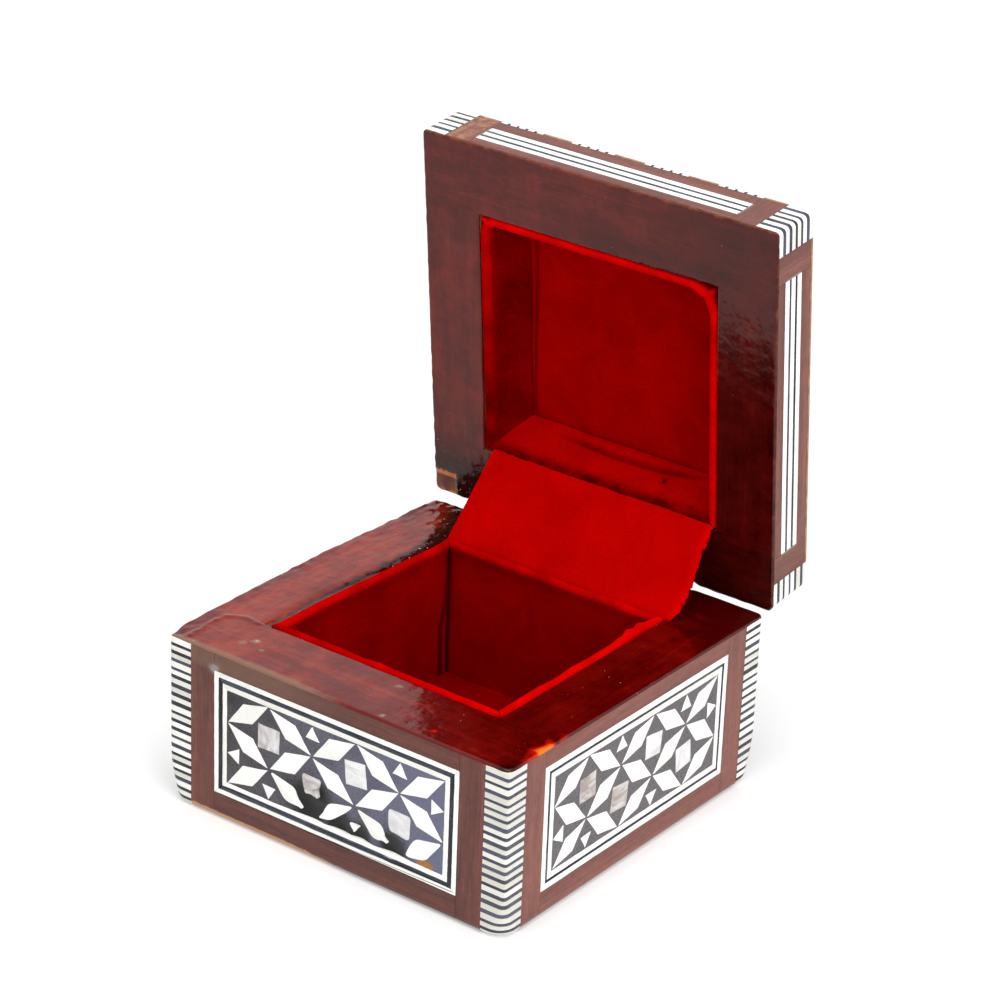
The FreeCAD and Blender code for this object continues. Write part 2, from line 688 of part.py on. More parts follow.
def flat_sided_lid():
    half, front, back = [value(size) for size in LID_AREA]
    foot = value(LID_RIM)
    height = value("sizes.lid_height")
    size = value("sizes.lid_top_round")
    side = [Vector(-half, y, z) for y, z in turned_by_flats(front, back, foot, foot + height, size)]
    end = [Vector(x, front, z) for x, z in turned_by_flats(-half, half, foot, foot + height, size)]
    cut = value("sizes.lid_edge_round") * (2 - math.sqrt(2))
    corner_cuts = [
        (-half + cut, front), (half - cut, front), (half, front + cut), (half, back - cut),
        (half - cut, back), (-half + cut, back), (-half, back - cut), (-half, front + cut)]
    plan = [Vector(x, y, foot) for x, y in corner_cuts]
    spans = [(side, Vector(2 * half, 0, 0)), (end, Vector(0, back - front, 0)), (plan, Vector(0, 0, height))]
    prisms = [Part.Face(Part.makePolygon(points + points[:1])).extrude(span) for points, span in spans]
    return prisms[0].common(prisms[1]).common(prisms[2])


# Corner slips: a stack of bone and dark slips in a rebate at each upright corner
def corner_outline(centre_x, centre_y, half_x, half_y, sign_x, sign_y):
    width = value("sizes.corner_width")
    x = centre_x + sign_x * half_x
    y = centre_y + sign_y * half_y
    return rectangle(x - sign_x * width, x, y - sign_y * width, y)


def corner_stack(outline, start, end, upward):
    """Bone first at the rim, slips in turn, and bone that reaches the far end."""
    bone_step = value("sizes.slip_bone")
    dark_step = value("sizes.slip_dark")
    pairs = int((abs(end - start) - bone_step) / (bone_step + dark_step))
    direction = 1 if upward else -1
    profile = Part.makeFace([wire(outline)], "Part::FaceMakerBullseye")
    bone = []
    dark = []
    level = start
    for _ in range(pairs):
        bone.append((level, level + direction * bone_step))
        level += direction * bone_step
        dark.append((level, level + direction * dark_step))
        level += direction * dark_step
    bone.append((level, end))

    def slip(low, high):
        return profile.translated(Vector(0, 0, low)).extrude(Vector(0, 0, high - low))

    return [slip(*span) for span in bone], [slip(*span) for span in dark]


def all_corner_stacks(centre_y, half_x, half_y, start, end, upward):
    bone = []
    dark = []
    for sign_x in (-1, 1):
        for sign_y in (-1, 1):
            outline = corner_outline(0, centre_y, half_x, half_y, sign_x, sign_y)
            slips = corner_stack(outline, start, end, upward)
            bone += slips[0]
            dark += slips[1]
    return bone, dark


# Base sides
half_width = value(HALF_WIDTH)
half_depth = value(HALF_DEPTH)
wall_top = value(WALL_TOP)
corner_width = value("sizes.corner_width")
base_pieces = {"string_bone": [], "string_dark": [], "bone": [], "pearl": []}
for index, side in enumerate(SIDES):
    half_face, half_span = (half_width, half_depth) if index % 2 == 0 else (half_depth, half_width)
    face = side_face(index, half_span, 0)
    inset = value("sizes.panel_side")
    panel_top = value(f"{RIM} - sizes.panel_top")
    panel_box = (inset - half_face, value("sizes.panel_foot"), half_face - inset, panel_top)
    veneer_box = (corner_width - half_face, 0, half_face - corner_width, wall_top)
    keep_pieces(f"base_veneer_{side}", trim(place(bordered(veneer_box, panel_box), face), base_form.Shape))
    pieces = panel(panel_box, "sizes.cell_height", skin)
    keep_pieces(f"base_ground_{side}", place(pieces.pop("ground"), face))
    for kind, shapes in pieces.items():
        base_pieces[kind] += place(shapes, face)
keep_pieces("base_stringing_bone", base_pieces["string_bone"])
keep_pieces("base_stringing_dark", base_pieces["string_dark"])
keep_pieces("base_bone_pieces", base_pieces["bone"])
keep_pieces("base_pearl_squares", base_pieces["pearl"])
corner_bone, corner_dark = all_corner_stacks(0, half_width, half_depth, wall_top, 0, False)
keep_pieces("base_corner_bone", trim(corner_bone, base_form.Shape))
keep_pieces("base_corner_dark", trim(corner_dark, base_form.Shape))

# Lid sides
lid_half_width = value("sizes.lid_width / 2")
lid_half_depth = value("sizes.lid_depth / 2")
lid_middle = value("-sizes.axis_back - sizes.lid_depth / 2")
rail_foot = value(LID_RAIL_FOOT)
skin_foot = value(LID_SKIN_FOOT)
line_bone = []
line_dark = []
for index, side in enumerate(SIDES):
    half_face, half_span = (
        (lid_half_width, lid_half_depth) if index % 2 == 0 else (lid_half_depth, lid_half_width))
    face = side_face(index, half_span, lid_middle)
    u_high = half_face - value("sizes.line_inset")
    level = value(f"{LID_RIM} + sizes.line_start")
    band_foot = level
    for line in range(2 * LID_DARK_LINES + 1):
        kind, pieces = ("line_dark", line_dark) if line % 2 else ("line_bone", line_bone)
        step = value(f"sizes.{kind}")
        pieces += place([tile(box_points((-u_high, level, u_high, level + step)), skin)], face)
        level += step
    veneer_box = (corner_width - half_face, rail_foot, half_face - corner_width, skin_foot)
    veneers = bordered(veneer_box, (-u_high, band_foot, u_high, level))
    keep_pieces(f"lid_veneer_{side}", trim(place(veneers, face), lid_form.Shape), True)
keep_pieces("lid_line_bone", line_bone, True)
keep_pieces("lid_line_dark", line_dark, True)

# Lid top: framed panel, blocks of slips round the edge, bone at the corners
lid_top = Placement(Vector(0, lid_middle, value(f"{LID_RIM} + sizes.lid_height")), Rotation())
inset = value("sizes.top_panel_inset")
top_box = (-lid_half_width, -lid_half_depth, lid_half_width, lid_half_depth)
top_panel_box = shrink(top_box, inset)
border_width = value("sizes.border_width")
block_bone = []
block_dark = []
block_holes = []
block_step = value("sizes.border_bone + sizes.border_dark")
block_length = BLOCK_DARK_SLIPS * block_step + value("sizes.border_bone")


def border_outline(index, u_low, u_high):
    half_span = lid_half_depth if index % 2 == 0 else lid_half_width
    turn = Rotation(Vector(0, 0, 1), 90 * index)
    outline = rectangle(u_low, u_high, -half_span, border_width - half_span)
    moved = [turn.multVec(Vector(u, v, 0)) for u, v in outline]
    return [(point.x, point.y) for point in moved]


for index in range(len(SIDES)):
    for centre in ("-sizes.border_outer", "-sizes.border_inner", "sizes.border_inner", "sizes.border_outer"):
        start = value(centre) - block_length / 2
        block_holes.append(border_outline(index, start, start + block_length))
        for slip in range(BLOCK_DARK_SLIPS + 1):
            low = start + slip * block_step
            middle = low + value("sizes.border_bone")
            block_bone.append(border_outline(index, low, middle))
            if slip < BLOCK_DARK_SLIPS:
                block_dark.append(border_outline(index, middle, low + block_step))
top_corners = []
for sign_x in (-1, 1):
    for sign_y in (-1, 1):
        x_low, x_high = sorted((sign_x * lid_half_width, sign_x * (lid_half_width - corner_width)))
        y_low, y_high = sorted((sign_y * lid_half_depth, sign_y * (lid_half_depth - corner_width)))
        top_corners.append(rectangle(x_low, x_high, y_low, y_high))
slip_form = flat_sided_lid()
top_plate = tile(box_points(top_box), top_skin, [box_points(top_panel_box)])
cut_outs = Part.makeCompound(tiles(block_holes + top_corners, top_skin))
keep_pieces("lid_top_veneer", trim(place([top_plate.cut(cut_outs)], lid_top), slip_form), True)
keep_pieces("lid_border_bone", trim(place(tiles(block_bone, top_skin), lid_top), slip_form), True)
keep_pieces("lid_border_dark", trim(place(tiles(block_dark, top_skin), lid_top), slip_form), True)
top_pieces = panel(top_panel_box, "sizes.top_cell_height", top_skin)
TOP_LABELS = {
    "string_bone": "lid_top_stringing_bone",
    "string_dark": "lid_top_stringing_dark",
    "ground": "lid_top_ground",
    "bone": "lid_top_bone_pieces",
    "pearl": "lid_top_pearl_squares",
}
for kind, label in TOP_LABELS.items():
    keep_pieces(label, place(top_pieces[kind], lid_top), True)
corner_bone, corner_dark = all_corner_stacks(
    lid_middle, lid_half_width, lid_half_depth, rail_foot, skin_foot, True)
corner_bone += place(tiles(top_corners, top_skin), lid_top)
keep_pieces("lid_corner_bone", trim(corner_bone, slip_form), True)
keep_pieces("lid_corner_dark", trim(corner_dark, slip_form), True)

# Check every object, then write one file for each piece
doc.recompute()
for item in doc.Objects:
    if "Invalid" in item.State or "Error" in item.State:
        raise RuntimeError(f"{item.Label} failed: {item.State}")
    if item.TypeId == "PartDesign::Pocket" and item.Shape.Volume > item.BaseFeature.Shape.Volume - 1e-6:
        raise RuntimeError(f"{item.Label} cuts nothing")
for node in nodes:
    if node.Shape.isNull() or not node.Shape.isValid() or not node.Shape.Solids:
        raise RuntimeError(f"{node.Label} has no sound shape")
os.makedirs("parts", exist_ok=True)
for node in nodes:
    node.Shape.exportStep(f"parts/{node.Label}.step")
print(len(nodes), "nodes,", sum(len(node.Shape.Solids) for node in nodes), "solids")
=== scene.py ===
import json
import math
import random

import bmesh
import bpy
from mathutils import Matrix, Vector, noise


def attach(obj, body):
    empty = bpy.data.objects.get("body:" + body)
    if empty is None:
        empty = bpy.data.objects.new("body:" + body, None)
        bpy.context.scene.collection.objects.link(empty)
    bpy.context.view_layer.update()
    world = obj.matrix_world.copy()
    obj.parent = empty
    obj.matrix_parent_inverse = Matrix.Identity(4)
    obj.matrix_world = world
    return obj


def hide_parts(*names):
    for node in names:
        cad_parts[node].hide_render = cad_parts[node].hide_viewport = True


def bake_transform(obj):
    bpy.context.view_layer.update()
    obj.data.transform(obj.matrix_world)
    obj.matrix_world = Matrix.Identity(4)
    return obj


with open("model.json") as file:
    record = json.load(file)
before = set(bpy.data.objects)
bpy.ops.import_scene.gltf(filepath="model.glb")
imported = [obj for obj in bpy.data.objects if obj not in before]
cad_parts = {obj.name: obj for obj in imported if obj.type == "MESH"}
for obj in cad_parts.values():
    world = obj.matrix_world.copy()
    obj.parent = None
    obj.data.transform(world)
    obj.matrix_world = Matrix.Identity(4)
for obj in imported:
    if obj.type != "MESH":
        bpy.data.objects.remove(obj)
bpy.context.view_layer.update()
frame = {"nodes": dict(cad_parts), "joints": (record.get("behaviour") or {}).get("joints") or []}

# Finish of a small inlaid wooden box with its lid open, drawn in millimetres and built in metres.
MM = 0.001
SIDES = ["front", "right", "back", "left"]
draw = random.Random(11)


# Frames for drawing: the base stands as it is, the lid is drawn closed about its hinge
HINGE = frame["joints"][0]
HINGE_POINT = Vector(HINGE["pos_m"]) / MM
LID_TURN = Matrix.Rotation(math.radians(HINGE["range_deg"][1]), 4, (-1, 0, 0))
BASE = Matrix()
LID = Matrix.Translation(HINGE_POINT) @ LID_TURN


def span(node, place=BASE):
    """Lowest and highest corner of a CAD node, in the frame of place."""
    back = place.inverted()
    points = [back @ (vertex.co / MM) for vertex in frame["nodes"][node].data.vertices]
    low = Vector([min(point[axis] for point in points) for axis in range(3)])
    high = Vector([max(point[axis] for point in points) for axis in range(3)])
    return low, high


def side_frame(index, half_span, middle=0.0, body=BASE):
    """Drawing plane of a side: u to the right, v up and n outward, seen from outside."""
    turn = Matrix.Rotation(math.radians(90 * index), 4, "Z")
    face = Matrix(((1, 0, 0, 0), (0, 0, -1, -half_span), (0, 1, 0, 0), (0, 0, 0, 1)))
    return body @ Matrix.Translation((0, middle, 0)) @ turn @ face


# Sizes read from the frame
rim_low, rim_high = span("base_rim_veneer")
wall_low = span("base_wall_front")[0]
veneer_low, veneer_high = span("base_veneer_front")
field_low, field_high = span("base_ground_front")
lining_low, lining_high = span("base_lining_front")
HALF = rim_high.x
RIM_FOOT = rim_low.z
RIM_TOP = rim_high.z
SKIN = wall_low.y - rim_low.y
LINING = lining_high.y - lining_low.y
FLOOR = lining_low.z
LINING_EDGE = lining_high.z
CORNER = HALF - veneer_high.x
VENEER_FOOT = veneer_low.z

lid_low, lid_high = span("lid_rim_veneer", LID)
ceiling_low, ceiling_high = span("lid_lining_ceiling", LID)
lid_lining_low, lid_lining_high = span("lid_lining_front", LID)
line_low = span("lid_line_bone", LID)[0]
top_field_low, top_field_high = span("lid_top_ground", LID)
LID_HALF = lid_high.x
LID_HALF_DEPTH = (lid_high.y - lid_low.y) / 2
LID_MIDDLE = (lid_high.y + lid_low.y) / 2
LID_RIM = lid_low.z
LID_RAIL_FOOT = lid_high.z
LID_TOP = span("lid_top_veneer", LID)[1].z
LID_SKIN_FOOT = span("lid_veneer_front", LID)[1].z
TOP_SKIN = LID_TOP - LID_SKIN_FOOT
LID_LINING_EDGE = lid_lining_low.z
LID_CEILING = ceiling_low.z
LEAN = lid_lining_high.y - lid_lining_low.y - LINING
LINE_INSET = 10.3


def wood_room(prefix, place):
    """Half width, front and back of the room between the wooden walls."""
    left = span(f"{prefix}_lining_left", place)[0].x
    return -left, span(f"{prefix}_lining_front", place)[0].y, span(f"{prefix}_lining_back", place)[1].y


BASE_ROOM = wood_room("base", BASE)
LID_ROOM = wood_room("lid", LID)

# Sizes of the finish
BOTTOM_ROUND = 1.5
LID_TOP_ROUND = 3.0
LID_CORNER_ROUND = 0.9
BASE_CORNER_ROUND = 0.5
RIM_ROUND = 0.45
FOOT_TURN = 3.6
FOOT_TURN_HEIGHT = 10.0
BONE_LINE = 1.0
DARK_LINE = 0.9
SIDE_CELLS = (5, 3)
TOP_CELLS = (5, 6)
TIP_GAP = 0.3
RHOMBUS_WIDTH = 4.1
PEARL_SIDE = 4.7
TRIANGLE_BASE = 3.1
TRIANGLE_HEIGHT = 2.6
TRIANGLE_GAP = 0.25
BORDER_WIDTH = 5.5
BORDER_CENTRES = (-23.8, -8.0, 8.0, 23.8)
BLOCK_DARK_SLIPS = 4
BLOCK_INSET = 1.6
EDGE_INSET = 0.02
JOINT = 0.03
BEVEL = 0.06
# Widths of a bone and of a dark slip
CORNER_SLIPS = (0.98, 0.62)
LINE_SLIPS = (1.25, 0.6)
BORDER_SLIPS = (1.4, 0.6)


# Shares from zero to one
def clamp(*values):
    """Least of the values, held between zero and one."""
    return max(0.0, min(1.0, *values))


def near(distance, reach):
    """One at no distance, falling evenly to nothing at reach."""
    return max(0.0, 1 - distance / reach)


def hump(distance, reach):
    """One at no distance, falling softly to nothing past reach."""
    return math.exp(-(distance / reach) ** 2)


def fade(x, y, reach):
    """One at the origin, fading with the distance from it."""
    return math.exp(-math.hypot(x, y) / reach)


def spots(x, y, marks):
    """Share of a point in each round mark, given by its place and reach."""
    return [hump(math.hypot(x - mark_x, y - mark_y), reach) for mark_x, mark_y, reach in marks]


# Forms, each a list of points and a list of faces
def loft(rings, looped=False):
    """Form through rings of as many points each, which run round a loop or end in two caps."""
    count = len(rings[0])
    points = [point for ring in rings for point in ring]
    total = len(points)
    caps = [tuple(range(count))[::-1], tuple(range(total - count, total))]
    faces = [] if looped else caps
    for base in range(0, total if looped else total - count, count):
        ahead = (base + count) % total
        for step in range(count):
            follower = (step + 1) % count
            faces.append((base + step, base + follower, ahead + follower, ahead + step))
    return points, faces


def grid_form(us, vs, height, foot):
    """Plate over a grid, its upper face at height(u, v) and its underside flat at foot."""
    columns = len(us)
    rows = len(vs)
    points = [(u, v, height(u, v)) for v in vs for u in us]
    faces = []
    for row in range(rows - 1):
        for column in range(columns - 1):
            start = row * columns + column
            faces.append((start, start + 1, start + columns + 1, start + columns))
    edge = list(range(columns))
    edge += [row * columns + columns - 1 for row in range(1, rows)]
    edge += [(rows - 1) * columns + column for column in range(columns - 2, -1, -1)]
    edge += [row * columns for row in range(rows - 2, 0, -1)]
    first = len(points)
    points += [(points[index][0], points[index][1], foot) for index in edge]
    count = len(edge)
    for step in range(count):
        follower = (step + 1) % count
        faces.append((edge[step], first + step, first + follower, edge[follower]))
    faces.append(tuple(range(first + count - 1, first - 1, -1)))
    return points, faces


def steps(low, high, count):
    return [low + (high - low) * index / count for index in range(count + 1)]


def sides(outline):
    """Both ends of each side of an outline."""
    return list(zip(outline, outline[1:] + outline[:1]))


def shrink(outline, amount):
    """Outline of a convex piece moved in by amount, its points running anticlockwise."""
    moved = []
    for index, place in enumerate(outline):
        into = (Vector(place) - Vector(outline[index - 1])).normalized()
        out = (Vector(outline[(index + 1) % len(outline)]) - Vector(place)).normalized()
        middle = Vector((-into.y - out.y, into.x + out.x)).normalized()
        reach = amount / max(0.3, middle.dot(Vector((-into.y, into.x))))
        moved.append((place[0] + middle.x * reach, place[1] + middle.y * reach))
    return moved


def slab(outline, top, depth):
    """Flat piece with eased upper edges."""
    levels = [(0, top - depth), (0, top - BEVEL), (0.3 * BEVEL, top - 0.3 * BEVEL), (BEVEL, top)]
    return loft([[(u, v, level) for u, v in shrink(outline, inset)] for inset, level in levels])


def hand_cut(outline, corner, edge, pieces=3):
    """Outline as a saw and file leave it: corners a little off and sides not quite straight."""
    corners = []
    for u, v in outline:
        corners.append(Vector((u + draw.uniform(-corner, corner), v + draw.uniform(-corner, corner))))
    cut = []
    for start, end in sides(corners):
        along = (end - start).normalized()
        across = Vector((-along.y, along.x))
        cut.append(tuple(start))
        for step in range(1, pieces):
            cut.append(tuple(start.lerp(end, step / pieces) + across * draw.uniform(-edge, edge)))
    return cut


def rectangle(u_low, u_high, v_low, v_high):
    return [(u_low, v_low), (u_high, v_low), (u_high, v_high), (u_low, v_high)]


def round_drop(distance, size):
    """How far a rounded edge has fallen away at a distance from it."""
    if distance >= size:
        return 0.0
    return size - math.sqrt(max(0.0, size * size - (size - distance) ** 2))


def ease_corner(a, b, size):
    """Distances from two faces that meet, turned round an upright corner."""
    if a >= size or b >= size:
        return a, b
    along = size - a
    across = size - b
    reach = max(along, across) / max(1e-9, math.hypot(along, across))
    return size - along * reach, size - across * reach


def ripple(x, y, scale, seed):
    return noise.noise(Vector((x * scale, y * scale, seed)))


# Meshes
PIECE_SHARP = 35
VELVET_SHARP = 60


def body_of(node):
    """Body of a CAD node, which its name begins with."""
    return node.split("_")[0]


def show(name, points, faces, finish, slot, fields, sharp):
    """Piece drawn in millimetres, with a number at each point for every field and hard edges past sharp."""
    mesh = bpy.data.meshes.new(name)
    mesh.from_pydata([Vector(point) * MM for point in points], [], faces)
    for field, values in fields.items():
        mesh.attributes.new(field, "FLOAT", "POINT").data.foreach_set("value", values)
    shape = bmesh.new()
    shape.from_mesh(mesh)
    bmesh.ops.recalc_face_normals(shape, faces=shape.faces)
    shape.to_mesh(mesh)
    shape.free()
    mesh.shade_smooth()
    mesh.set_sharp_from_angle(angle=math.radians(sharp))
    mesh.materials.append(finish)
    piece = bpy.data.objects.new(name, mesh)
    bpy.context.scene.collection.objects.link(piece)
    return piece


class Pieces:
    """One mesh of many small pieces that stands for a CAD node.

    Each point keeps where it lies along the grain of its piece, and four fields for the finish: the tone of
    the piece, how worn it is, how uneven its lacquer is and whether its grain runs across. On the rims the
    tone also carries painted reflection and shade, the wear painted glints and highlights, and the lump
    painted shade.
    """

    FIELDS = ("tone", "wear", "lump", "turn")

    def __init__(self, node, slot, finish=None):
        self.node = node
        self.slot = slot
        self.finish = finish or FINISHES[slot]
        self.points = []
        self.faces = []
        self.grain = []
        self.fields = {field: [] for field in self.FIELDS}

    def add(self, form, place, along=0, **fields):
        """Add a form; a field is a number, or is worked out from where a point lies in its plane."""
        points, faces = form
        first = len(self.points)
        across, deep = [axis for axis in range(3) if axis != along]
        shift = [draw.uniform(0, 300) for _ in range(3)]
        for point in points:
            self.points.append(place @ Vector(point))
            self.grain += [point[along] + shift[0], point[across] + shift[1], point[deep] + shift[2]]
        self.faces += [tuple(first + index for index in face) for face in faces]
        for field, values in self.fields.items():
            value = fields.get(field, 0.0)
            values += [value(*point[:2]) if callable(value) else value for point in points]

    def build(self):
        name = f"{self.node}_finish"
        piece = show(name, self.points, self.faces, self.finish, self.slot, self.fields, PIECE_SHARP)
        piece.data.attributes.new("grain", "FLOAT_VECTOR", "POINT").data.foreach_set("vector", self.grain)
        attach(piece, body_of(self.node))
        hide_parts(self.node)


def bone_and_dark(prefix):
    """Pieces for slips of bone and of dark wood that take turns."""
    return Pieces(f"{prefix}_bone", "bone"), Pieces(f"{prefix}_dark", "dark_wood")


def build(group):
    for pieces in group:
        pieces.build()


# Materials
def rgb(red, green, blue):
    """Screen colour from 0 to 255, as the linear colour that shaders take."""
    linear = []
    for part in (red / 255, green / 255, blue / 255):
        linear.append(part / 12.92 if part <= 0.04045 else ((part + 0.055) / 1.055) ** 2.4)
    return (*linear, 1.0)


class Nodes:
    """A tree of shader nodes that are added one by one."""

    def __init__(self, tree):
        self.tree = tree

    def put(self, node, key, value):
        if isinstance(value, bpy.types.NodeSocket):
            self.tree.links.new(value, node.inputs[key])
        else:
            node.inputs[key].default_value = value

    def add(self, kind, inputs, output=0, **settings):
        node = self.tree.nodes.new(f"ShaderNode{kind}")
        for key, value in settings.items():
            setattr(node, key, value)
        for key, value in inputs.items():
            self.put(node, key, value)
        return node.outputs[output]

    def maths(self, operation, first, second):
        return self.add("Math", {0: first, 1: second}, operation=operation)

    def weigh(self, *parts):
        """Sum of values, each times its share."""
        weighed = [value if share == 1 else self.maths("MULTIPLY", value, share) for value, share in parts]
        total = weighed[0]
        for part in weighed[1:]:
            total = self.maths("ADD", total, part)
        return total

    def band(self, factor, low, high, to_low=0.0, to_high=1.0):
        limits = {"From Min": low, "From Max": high, "To Min": to_low, "To Max": to_high}
        return self.add("MapRange", {"Value": factor, **limits})

    def seen_rays(self):
        """One where a ray comes from the camera, a reflection or glass, and zero for the rest."""
        total = self.add("LightPath", {}, "Is Camera Ray")
        path = total.node
        for name in ("Is Glossy Ray", "Is Transmission Ray"):
            total = self.maths("MAXIMUM", total, path.outputs[name])
        return total


class Finish(Nodes):
    """A material whose noise follows the grain of its pieces, or else lies over the object."""

    def __init__(self, name, by_grain=True):
        self.material = bpy.data.materials.new(name)
        self.material.use_nodes = True
        super().__init__(self.material.node_tree)
        self.shader = self.tree.nodes["Principled BSDF"]
        if by_grain:
            self.place = self.add("Attribute", {}, "Vector", attribute_name="grain")
        else:
            self.place = self.scaled(self.add("TexCoord", {}, "Object"), (1 / MM, 1 / MM, 1 / MM))

    def scaled(self, place, stretch):
        return self.add("VectorMath", {0: place, 1: stretch}, operation="MULTIPLY")

    def field(self, name):
        return self.add("Attribute", {}, "Fac", attribute_name=name)

    def noise(self, stretch, detail, roughness=0.55, distortion=0.0):
        """Noise as fine as stretch says, which is one number or one for each direction."""
        directions = stretch if isinstance(stretch, tuple) else (stretch, stretch, stretch)
        settings = {"Vector": self.scaled(self.place, directions), "Scale": 1.0, "Detail": detail}
        return self.add("TexNoise", {**settings, "Roughness": roughness, "Distortion": distortion}, "Fac")

    def ramp(self, factor, *stops):
        colours = self.add("ValToRGB", {"Fac": factor})
        elements = colours.node.color_ramp.elements
        while len(elements) < len(stops):
            elements.new(0.5)
        for element, (position, colour) in zip(elements, stops):
            element.position = position
            element.color = colour
        return colours

    def mix(self, factor, first, second):
        return self.add("Mix", {0: factor, 6: first, 7: second}, 2, data_type="RGBA")

    def cover(self, colour, over, factor, low, high, most=1.0):
        """Colour with another laid over it, as far as a factor goes from low to high."""
        return self.mix(self.band(factor, low, high, 0.0, most), colour, over)

    def between(self, share, first, second):
        return self.add("Mix", {0: share, 2: first, 3: second})

    def bump(self, height, distance, strength):
        return self.add("Bump", {"Height": height, "Distance": distance * MM, "Strength": strength})

    def shade(self, **inputs):
        for key, value in inputs.items():
            self.put(self.shader, key.replace("_", " "), value)
        return self.material


WORN = rgb(188, 138, 94)
SMEAR = rgb(146, 132, 134)
HAZE = rgb(112, 76, 60)
SCUFF = rgb(126, 92, 74)
# The rubbed orange and red below also paint glints and highlights, and the near-black also paints shade and
# dark reflection
RUBBED_AND_GLINT = rgb(214, 112, 26)
RUBBED_RED_AND_GLINT = rgb(204, 18, 2)
THIN = rgb(118, 66, 36)
THICK_LACQUER_AND_SHADE = rgb(22, 2, 1)
BARE = rgb(162, 106, 44)
SPECK = rgb(224, 192, 168)
WARM = (1.0, 0.68, 0.62, 1.0)


def wood(name, dark, middle, light, gloss, shine, by_grain=True):
    """Straight-grained wood under varnish, with fine pores and darker bands."""
    made = Finish(name, by_grain)
    bands = made.noise((0.012, 0.28, 0.28), 3.0, 0.5, 0.4)
    fibres = made.noise((0.08, 2.8, 2.8), 5.0, 0.65, 0.3)
    mottle = made.noise((0.5, 0.9, 0.9), 5.0, 0.7)
    pores = made.band(made.noise((0.35, 7.0, 7.0), 2.0, 0.5), 0.62, 0.74)
    grain = [(bands, 0.35), (fibres, 0.4), (mottle, 0.25)]
    if by_grain:
        grain.append((made.field("tone"), 0.12))
    colour = made.ramp(made.weigh(*grain), (0.32, dark), (0.5, middle), (0.7, light))
    colour = made.mix(made.maths("MULTIPLY", pores, 0.5), colour, dark)
    if by_grain:
        wear = made.field("wear")
        colour = made.cover(colour, WORN, made.weigh((wear, 1), (mottle, 0.6)), 0.7, 0.95)
        smeared = made.weigh((wear, 1), (mottle, 0.5))
        colour = made.cover(colour, HAZE, smeared, 0.05, -0.35)
        colour = made.cover(colour, SMEAR, smeared, -0.35, -0.65)
    height = made.weigh((fibres, 1), (pores, -0.6))
    rough = made.band(fibres, 0.3, 0.7, gloss, gloss + 0.14)
    return made.shade(
        Base_Color=colour, Roughness=rough, Specular_IOR_Level=shine, Normal=made.bump(height, 0.03, 0.5))


def lacquer(name, dark, middle, light, contrast, edge):
    """Wood under thick varnish that has run and dimpled, with a colour of its own where it is rubbed; its
    near-black and rubbed colours also paint shade, dark reflections and glints.
    """
    made = Finish(name)
    lump = made.field("lump")
    wear = made.field("wear")
    mottle = made.noise(0.4, 6.0, 0.7)
    blotch = made.noise(0.13, 3.0, 0.5, 0.5)
    turn = made.band(made.weigh((made.field("turn"), 1), (mottle, 0.6)), 0.55, 1.05)
    bands, fibres = [
        made.between(turn, made.noise((long, fine, fine), *look), made.noise((fine, long, fine), *look))
        for long, fine, look in ((0.02, 0.24, (4.0, 0.6, 0.8)), (0.1, 2.4, (5.0, 0.7, 0.4)))]
    grain = made.weigh(
        (bands, 0.3), (fibres, 0.2), (mottle, 0.25), (blotch, 0.25), (made.field("tone"), 0.14))
    colour = made.ramp(grain, (0.5 - contrast, dark), (0.5, middle), (0.5 + contrast, light))
    # Near-black where the lump field is high: thick lacquer, and painted shade and painted dark reflection
    # along the velvet, by the stay and at the near corner
    colour = made.cover(colour, THICK_LACQUER_AND_SHADE, made.weigh((lump, 0.9), (mottle, 0.9)), 0.8, 1.2, 0.9)
    colour = made.cover(colour, SCUFF, made.weigh((mottle, 0.6), (wear, -1)), 0.6, 1.0)
    colour = made.cover(colour, SPECK, wear, -1.2, -1.7)
    # Rubbed colours where the wear field is high: lacquer rubbed through, and painted orange glints and
    # highlights by the base's near corner and at the lid's chip
    rubbed = made.weigh((wear, 1), (mottle, 0.8))
    colour = made.cover(colour, edge, rubbed, 0.6, 0.95)
    colour = made.cover(colour, RUBBED_AND_GLINT, rubbed, 0.9, 1.2)
    grit = made.weigh((made.noise(1.5, 1.0), 1), (lump, 0.08))
    colour = made.cover(colour, SPECK, grit, 0.8, 0.84, 0.7)
    dimples = made.noise(1.3, 3.0, 0.6)
    runs = made.noise(0.3, 2.0, 0.5)
    height = made.weigh((dimples, made.band(lump, 0.0, 1.0, 0.15, 0.6)), (runs, 1))
    return made.shade(
        Base_Color=colour, Roughness=made.band(dimples, 0.35, 0.7, 0.08, 0.2), Specular_Tint=WARM,
        Specular_IOR_Level=0.45, Normal=made.bump(height, 0.16, 0.6))


def bone(name, pale, aged):
    """Bone with faint grain, polished with the surface round it."""
    made = Finish(name)
    clouds = made.noise((0.2, 0.35, 0.35), 3.0)
    lines = made.noise((0.12, 3.0, 3.0), 3.0, 0.6)
    colour = made.cover(pale, aged, made.weigh((clouds, 0.5), (made.field("tone"), 0.5)), 0.1, 0.8)
    colour = made.cover(colour, aged, lines, 0.6, 0.75, 0.25)
    return made.shade(
        Base_Color=colour, Roughness=made.band(lines, 0.3, 0.7, 0.28, 0.42), Coat_Weight=0.5,
        Coat_Roughness=0.1, Subsurface_Weight=0.08, Subsurface_Radius=(0.6 * MM, 0.5 * MM, 0.4 * MM),
        Normal=made.bump(lines, 0.01, 0.4))


